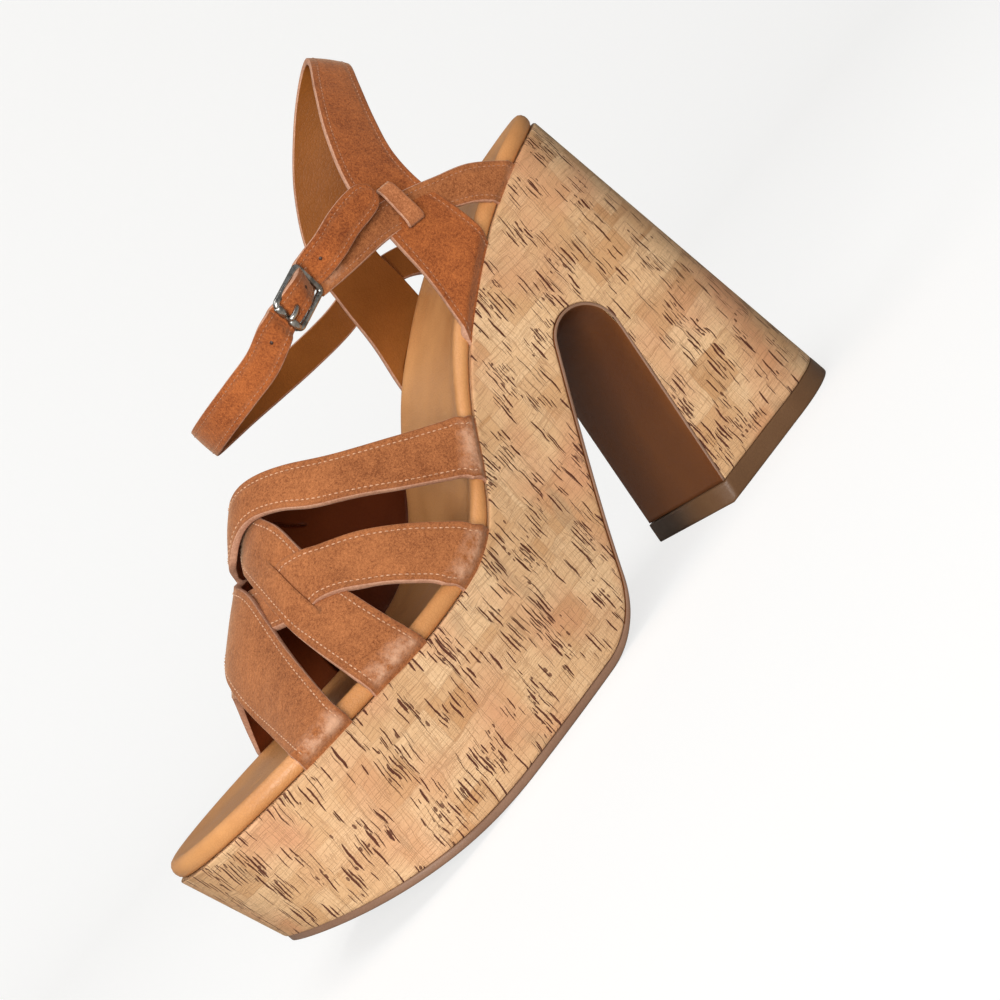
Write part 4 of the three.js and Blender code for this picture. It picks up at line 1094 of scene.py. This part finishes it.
def ribbon_face(rows, count):
    """Outer face of an upright strap along a smooth line through rows of x, y, z, width. Near
    the buckle it leans outwards with it."""
    path = smooth_path(rows, count)
    centre, width = path[:, :3], path[:, 3]
    tangent = unit(np.gradient(centre, axis=0))
    outward = unit(np.stack([tangent[:, 1], -tangent[:, 0], np.zeros(len(tangent))], 1))
    up = unit(np.cross(outward, tangent))
    near = np.exp(-(np.linalg.norm(centre - BUCKLE_AT, axis=1) / LEAN_REACH) ** 2)[:, None]
    lean = np.radians(BUCKLE_LEAN) * near * np.sign(outward[:, 1:2])
    up, outward = up * np.cos(lean) + outward * np.sin(lean), outward * np.cos(lean) - up * np.sin(lean)
    across = (ACROSS - 0.5)[None, :, None] * width[:, None, None]
    face = centre[:, None] + up[:, None] * across + outward[:, None] * (0.95 + 0.25 * CROWN)[None, :, None]
    return tucked(outwards(face))


def quarter_face():
    """Outer face of both quarters and the strap behind the tendon as one band."""
    other = QUARTER[-2::-1] * np.array([1, 1, -1, 1, 1, -1])
    path = smooth_path(np.vstack([QUARTER, other]), 161)
    front, back = path[:, None, [0, 2, 1]], path[:, None, [3, 5, 4]]
    share = ACROSS[None, :, None]
    face = outwards(front * (1 - share) + back * share)
    return tucked(face + grid_normals(face) * 0.4 * CROWN[None, :, None])


def long_strap_face():
    """Long strap from its inner foot round the front of the ankle, up and down through the
    buckle in a bell curve over the middle bar, to its tip."""
    wave = [[run, out, WAVE_RISE * math.exp(-(run / WAVE_REACH) ** 2)] for run, out in BUCKLE_WAVE[:, :2]]
    wave = np.column_stack([at_buckle(wave), BUCKLE_WAVE[:, 2]])
    return ribbon_face(np.vstack([LONG_STRAP, wave, LONG_STRAP_TAIL]), 330)


def strap_hole_painted_shade(face):
    """Punched holes of the long strap, drawn as small dark discs of painted shade just above its outer face,
    not as openings.
    """
    normal, middle = grid_normals(face), face.shape[1] // 2
    inner_side = np.where(face[:, middle, 1] > 0, 0.0, 1000.0)
    turn = np.arange(16)[:, None] * np.pi / 8
    radii, lifts = np.array([0, 0.5, 0.58, 0.0]), np.array([0.06, 0.06, -0.1, -0.12])
    rings = []
    for x in HOLES_AT:
        row = np.argmin(np.abs(face[:, middle, 0] - x) + inner_side)
        up, way = normal[row, middle], unit(face[row + 1, middle] - face[row - 1, middle])
        disc = np.cos(turn) * way + np.sin(turn) * np.cross(up, way)
        rings.append(face[row, middle] + disc[None] * radii[:, None, None] + up * lifts[:, None, None])
    rings = np.array(rings)
    count, rows, columns = rings.shape[:3]
    one = quads(rows, columns, round_columns=True)
    return mesh_piece("strap_hole_painted_shade", rings, copies(one, count, rows * columns), [HOLE_PAINTED_SHADE])


def bridge_strip(label, side, height):
    """Small flat strip over quarter and strap, its ends bent in."""
    part = np.linspace(-1, 1, 25)
    centre = np.stack([-53.6 - 0.4 * part, side * (33.9 - 1.6 * part**6), height + 7.0 * part], 1)
    width = 4.8 - 0.5 * part[:, None, None]
    strip = centre[:, None] + np.array([1.0, 0, 0.12]) * (ACROSS - 0.5)[None, :, None] * width
    return strap_body(f"bridge_strip_{label}", outwards(strip), 1.3, STRIP_LAYERS)


def build_ankle():
    """Quarter band, short and long ankle strap with their stitches, the dark discs of painted shade that stand
    for the holes, and the bridge strips.
    """
    made = []
    long_face = long_strap_face()
    for name, seams, face, thickness, layers, line in (
            ("quarter_band", "quarter_stitches", quarter_face(), 2.0, ANKLE_LAYERS, (1.8, 0.03, 0.97)),
            ("short_ankle_strap", "short_strap_stitches", ribbon_face(SHORT_STRAP, 70), ANKLE_THICK,
             SHORT_LAYERS, (1.4, 0.05, 0.98)),
            ("long_ankle_strap", "long_strap_stitches", long_face, ANKLE_THICK,
             ANKLE_LAYERS, (1.4, 0.02, 0.975))):
        made.append(strap_body(name, face, thickness, layers))
        made.append(stitches(seams, stitch_lines(face, *line), ANKLE_STITCH, RUSSET_THREAD))
    return made + [strap_hole_painted_shade(long_face), bridge_strip("outer", 1, 125.6), bridge_strip("inner", -1, 119.8)]


def wire_ring(name, path, radius, closed=False, sides=14):
    """Round wire at the buckle along a path: a circle carried in planes square to the path."""
    path = at_buckle(path)
    ahead = np.roll(path, -1, 0) - np.roll(path, 1, 0) if closed else np.gradient(path, axis=0)
    tangent = unit(ahead)
    side = unit(np.cross(tangent, BUCKLE_AXES[1]))
    up = unit(np.cross(side, tangent))
    turn = (np.arange(sides) * 2 * np.pi / sides)[None, :, None]
    radius = np.broadcast_to(radius, (len(path),))[:, None, None]
    rings = path[:, None] + (np.cos(turn) * side[:, None] + np.sin(turn) * up[:, None]) * radius
    return loft(name, rings, [OLD_BRASS], closed_rows=closed)


def build_buckle():
    """Rounded rectangular wire frame, its middle bar, the two-part roller on its front bar,
    and the pin whose tip rests between the roller's parts."""
    half_long, half_high = BUCKLE_LONG / 2 - WIRE, BUCKLE_HIGH / 2 - WIRE
    pieces = []
    for k, (cx, cz) in enumerate(((1, 1), (-1, 1), (-1, -1), (1, -1))):
        turn = np.linspace(0, np.pi / 2, 9) + k * np.pi / 2
        pieces.append(np.stack([cx * (half_long - BUCKLE_CORNER) + BUCKLE_CORNER * np.cos(turn), 0 * turn,
                                cz * (half_high - BUCKLE_CORNER) + BUCKLE_CORNER * np.sin(turn)], 1))
    made = [wire_ring("buckle_wire_frame", np.vstack(pieces), WIRE, closed=True)]
    bar = np.linspace([0, 0, -half_high], [0, 0, half_high], 9)
    made.append(wire_ring("buckle_middle_bar", bar, WIRE * 0.9))
    t = np.linspace(0, 1, 15)
    pin = np.stack([2.8 + 5.3 * t, 1.6 + 0.8 * np.sin(np.pi * t) + 0.1 * t, 0.5 - 0.5 * t], 1)
    made.append(wire_ring("buckle_tongue", pin, 0.75 * np.sqrt(np.clip(1 - (2 * t - 1) ** 8, 0.02, 1))))
    share = np.array([0, 0.02, 0.08, 0.5, 0.92, 0.98, 1])
    girth = 1.25 * np.array([0.05, 0.8, 1, 1, 1, 0.8, 0.05])
    for label, low, high in (("upper", 0.85, half_high - 0.6), ("lower", 0.6 - half_high, -0.85)):
        tube = np.stack([np.full(7, half_long), np.zeros(7), low + (high - low) * share], 1)
        made.append(wire_ring(f"buckle_roller_{label}", tube, girth))
    return made


# ------------------------------------------------------------------ assembly

def assemble():
    """Makes every piece with its finish, hides the imported solid that each main piece stands for, and puts
    every piece under the root body.
    """
    platform = [build_cork(), sole_strip(), top_lift(), footbed()]
    vamp, ankle, buckle = build_vamp(), build_ankle(), build_buckle()
    cork, sole, lift, bed = platform
    for piece, node in ((cork, "cork_platform"), (sole, "outsole"), (lift, "top_lift"), (bed, "footbed"),
                        (vamp[0], "vamp_straps"), (ankle[0], "ankle_straps"),
                        (buckle[0], "buckle_frame"), (buckle[2], "buckle_pin")):
        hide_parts(node)
    for piece in platform + vamp + ankle + buckle:
        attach(piece, "root")


# ------------------------------------------------------------------ camera, floor and light

# the camera's place in mm and its turns about x, y and z in degrees; lens and sensor in mm
CAMERA_AT, CAMERA_TURN = np.array([189.577, 538.748, 95.295]), (-96.849, 132.019, -26.414)
LENS, SENSOR, NEAREST = 72.65, 36, 0.02
FLOOR_GLOW, FLOOR_LIT, FLOOR_SEEN = 0.76, (0.42, 0.4, 0.37), (0.26, 0.258, 0.254)
HALF_FLOOR, WALL_HIGH, WALL_Y, COVE = 12.0, 6.0, -1.25, 0.5  # metres


def set_camera():
    """The camera stands beside the outer side at platform height and is rolled, so that the
    toe points down to the left."""
    camera = linked("camera", bpy.data.cameras.new("camera"))
    camera.matrix_world = Matrix.LocRotScale(
        Vector((CAMERA_AT + SHIFT) * MM), Euler(np.radians(CAMERA_TURN)), None)
    camera.data.sensor_width, camera.data.lens, camera.data.clip_start = SENSOR, LENS, NEAREST
    bpy.context.scene.camera = camera


def backdrop():
    """Pale floor that curves up into a wall behind the sandal by a quarter circle. It glows a
    little for the camera, so that it stays pale without lighting the sandal from below."""
    turn = np.linspace(0, np.pi / 2, 24)
    y = np.concatenate([[HALF_FLOOR, 0.6], WALL_Y + COVE * (1 - np.sin(turn)), [WALL_Y]])
    z = np.concatenate([[0, 0], COVE * (1 - np.cos(turn)), [WALL_HIGH]])
    x = np.linspace(-HALF_FLOOR, HALF_FLOOR, 9)[:, None]
    grid = np.stack(np.broadcast_arrays(x, y, z), -1)
    mesh = bpy.data.meshes.new("floor")
    faces = quads(*grid.shape[:2])
    mesh.from_pydata(grid.reshape(-1, 3).tolist(), [], faces.tolist())
    mesh.polygons.foreach_set("use_smooth", np.ones(len(faces), bool))
    floor = linked("floor", mesh)
    material, shader = finish_of("pale_floor", 0.9, Specular_IOR_Level=0.1,
                                 Emission_Color=(1.0, 0.998, 0.99, 1))
    seen = add(shader.id_data, "ShaderNodeLightPath")["Is Camera Ray"]
    feed(shader.inputs["Emission Strength"], seen * FLOOR_GLOW)
    feed(shader.inputs["Base Color"], seen.mix(FLOOR_LIT, FLOOR_SEEN))
    mesh.materials.append(material)


def soft_light(name, at, aim, size, power, tint=(1, 1, 1)):
    """Rectangular soft light, in metres and watts, turned from its place to its aim."""
    light = linked(name, bpy.data.lights.new(name, "AREA"))
    light.data.shape = "RECTANGLE"
    light.data.size, light.data.size_y = size
    light.data.energy, light.data.color = power, tint
    light.location = at
    light.rotation_euler = (Vector(aim) - Vector(at)).to_track_quat("-Z", "Y").to_euler()


def studio():
    """Backdrop, a soft window light from the front and side, a weaker one above, dim sky."""
    backdrop()
    soft_light("window", at=(0.75, 1.35, 0.34), aim=(0, 0, 0.08), size=(1.1, 0.6), power=29,
               tint=(1.0, 0.99, 0.97))
    soft_light("overhead", at=(0.5, 0.2, 1.5), aim=(0, 0, 0), size=(1.3, 1.3), power=12)
    world = bpy.data.worlds.new("studio")
    bpy.context.scene.world = world
    world.use_nodes = True
    sky = world.node_tree.nodes["Background"].inputs
    sky["Color"].default_value, sky["Strength"].default_value = (0.95, 0.97, 1.0, 1), 0.2
    bpy.context.scene.view_settings.view_transform = "Standard"


assemble()
set_camera()
studio()
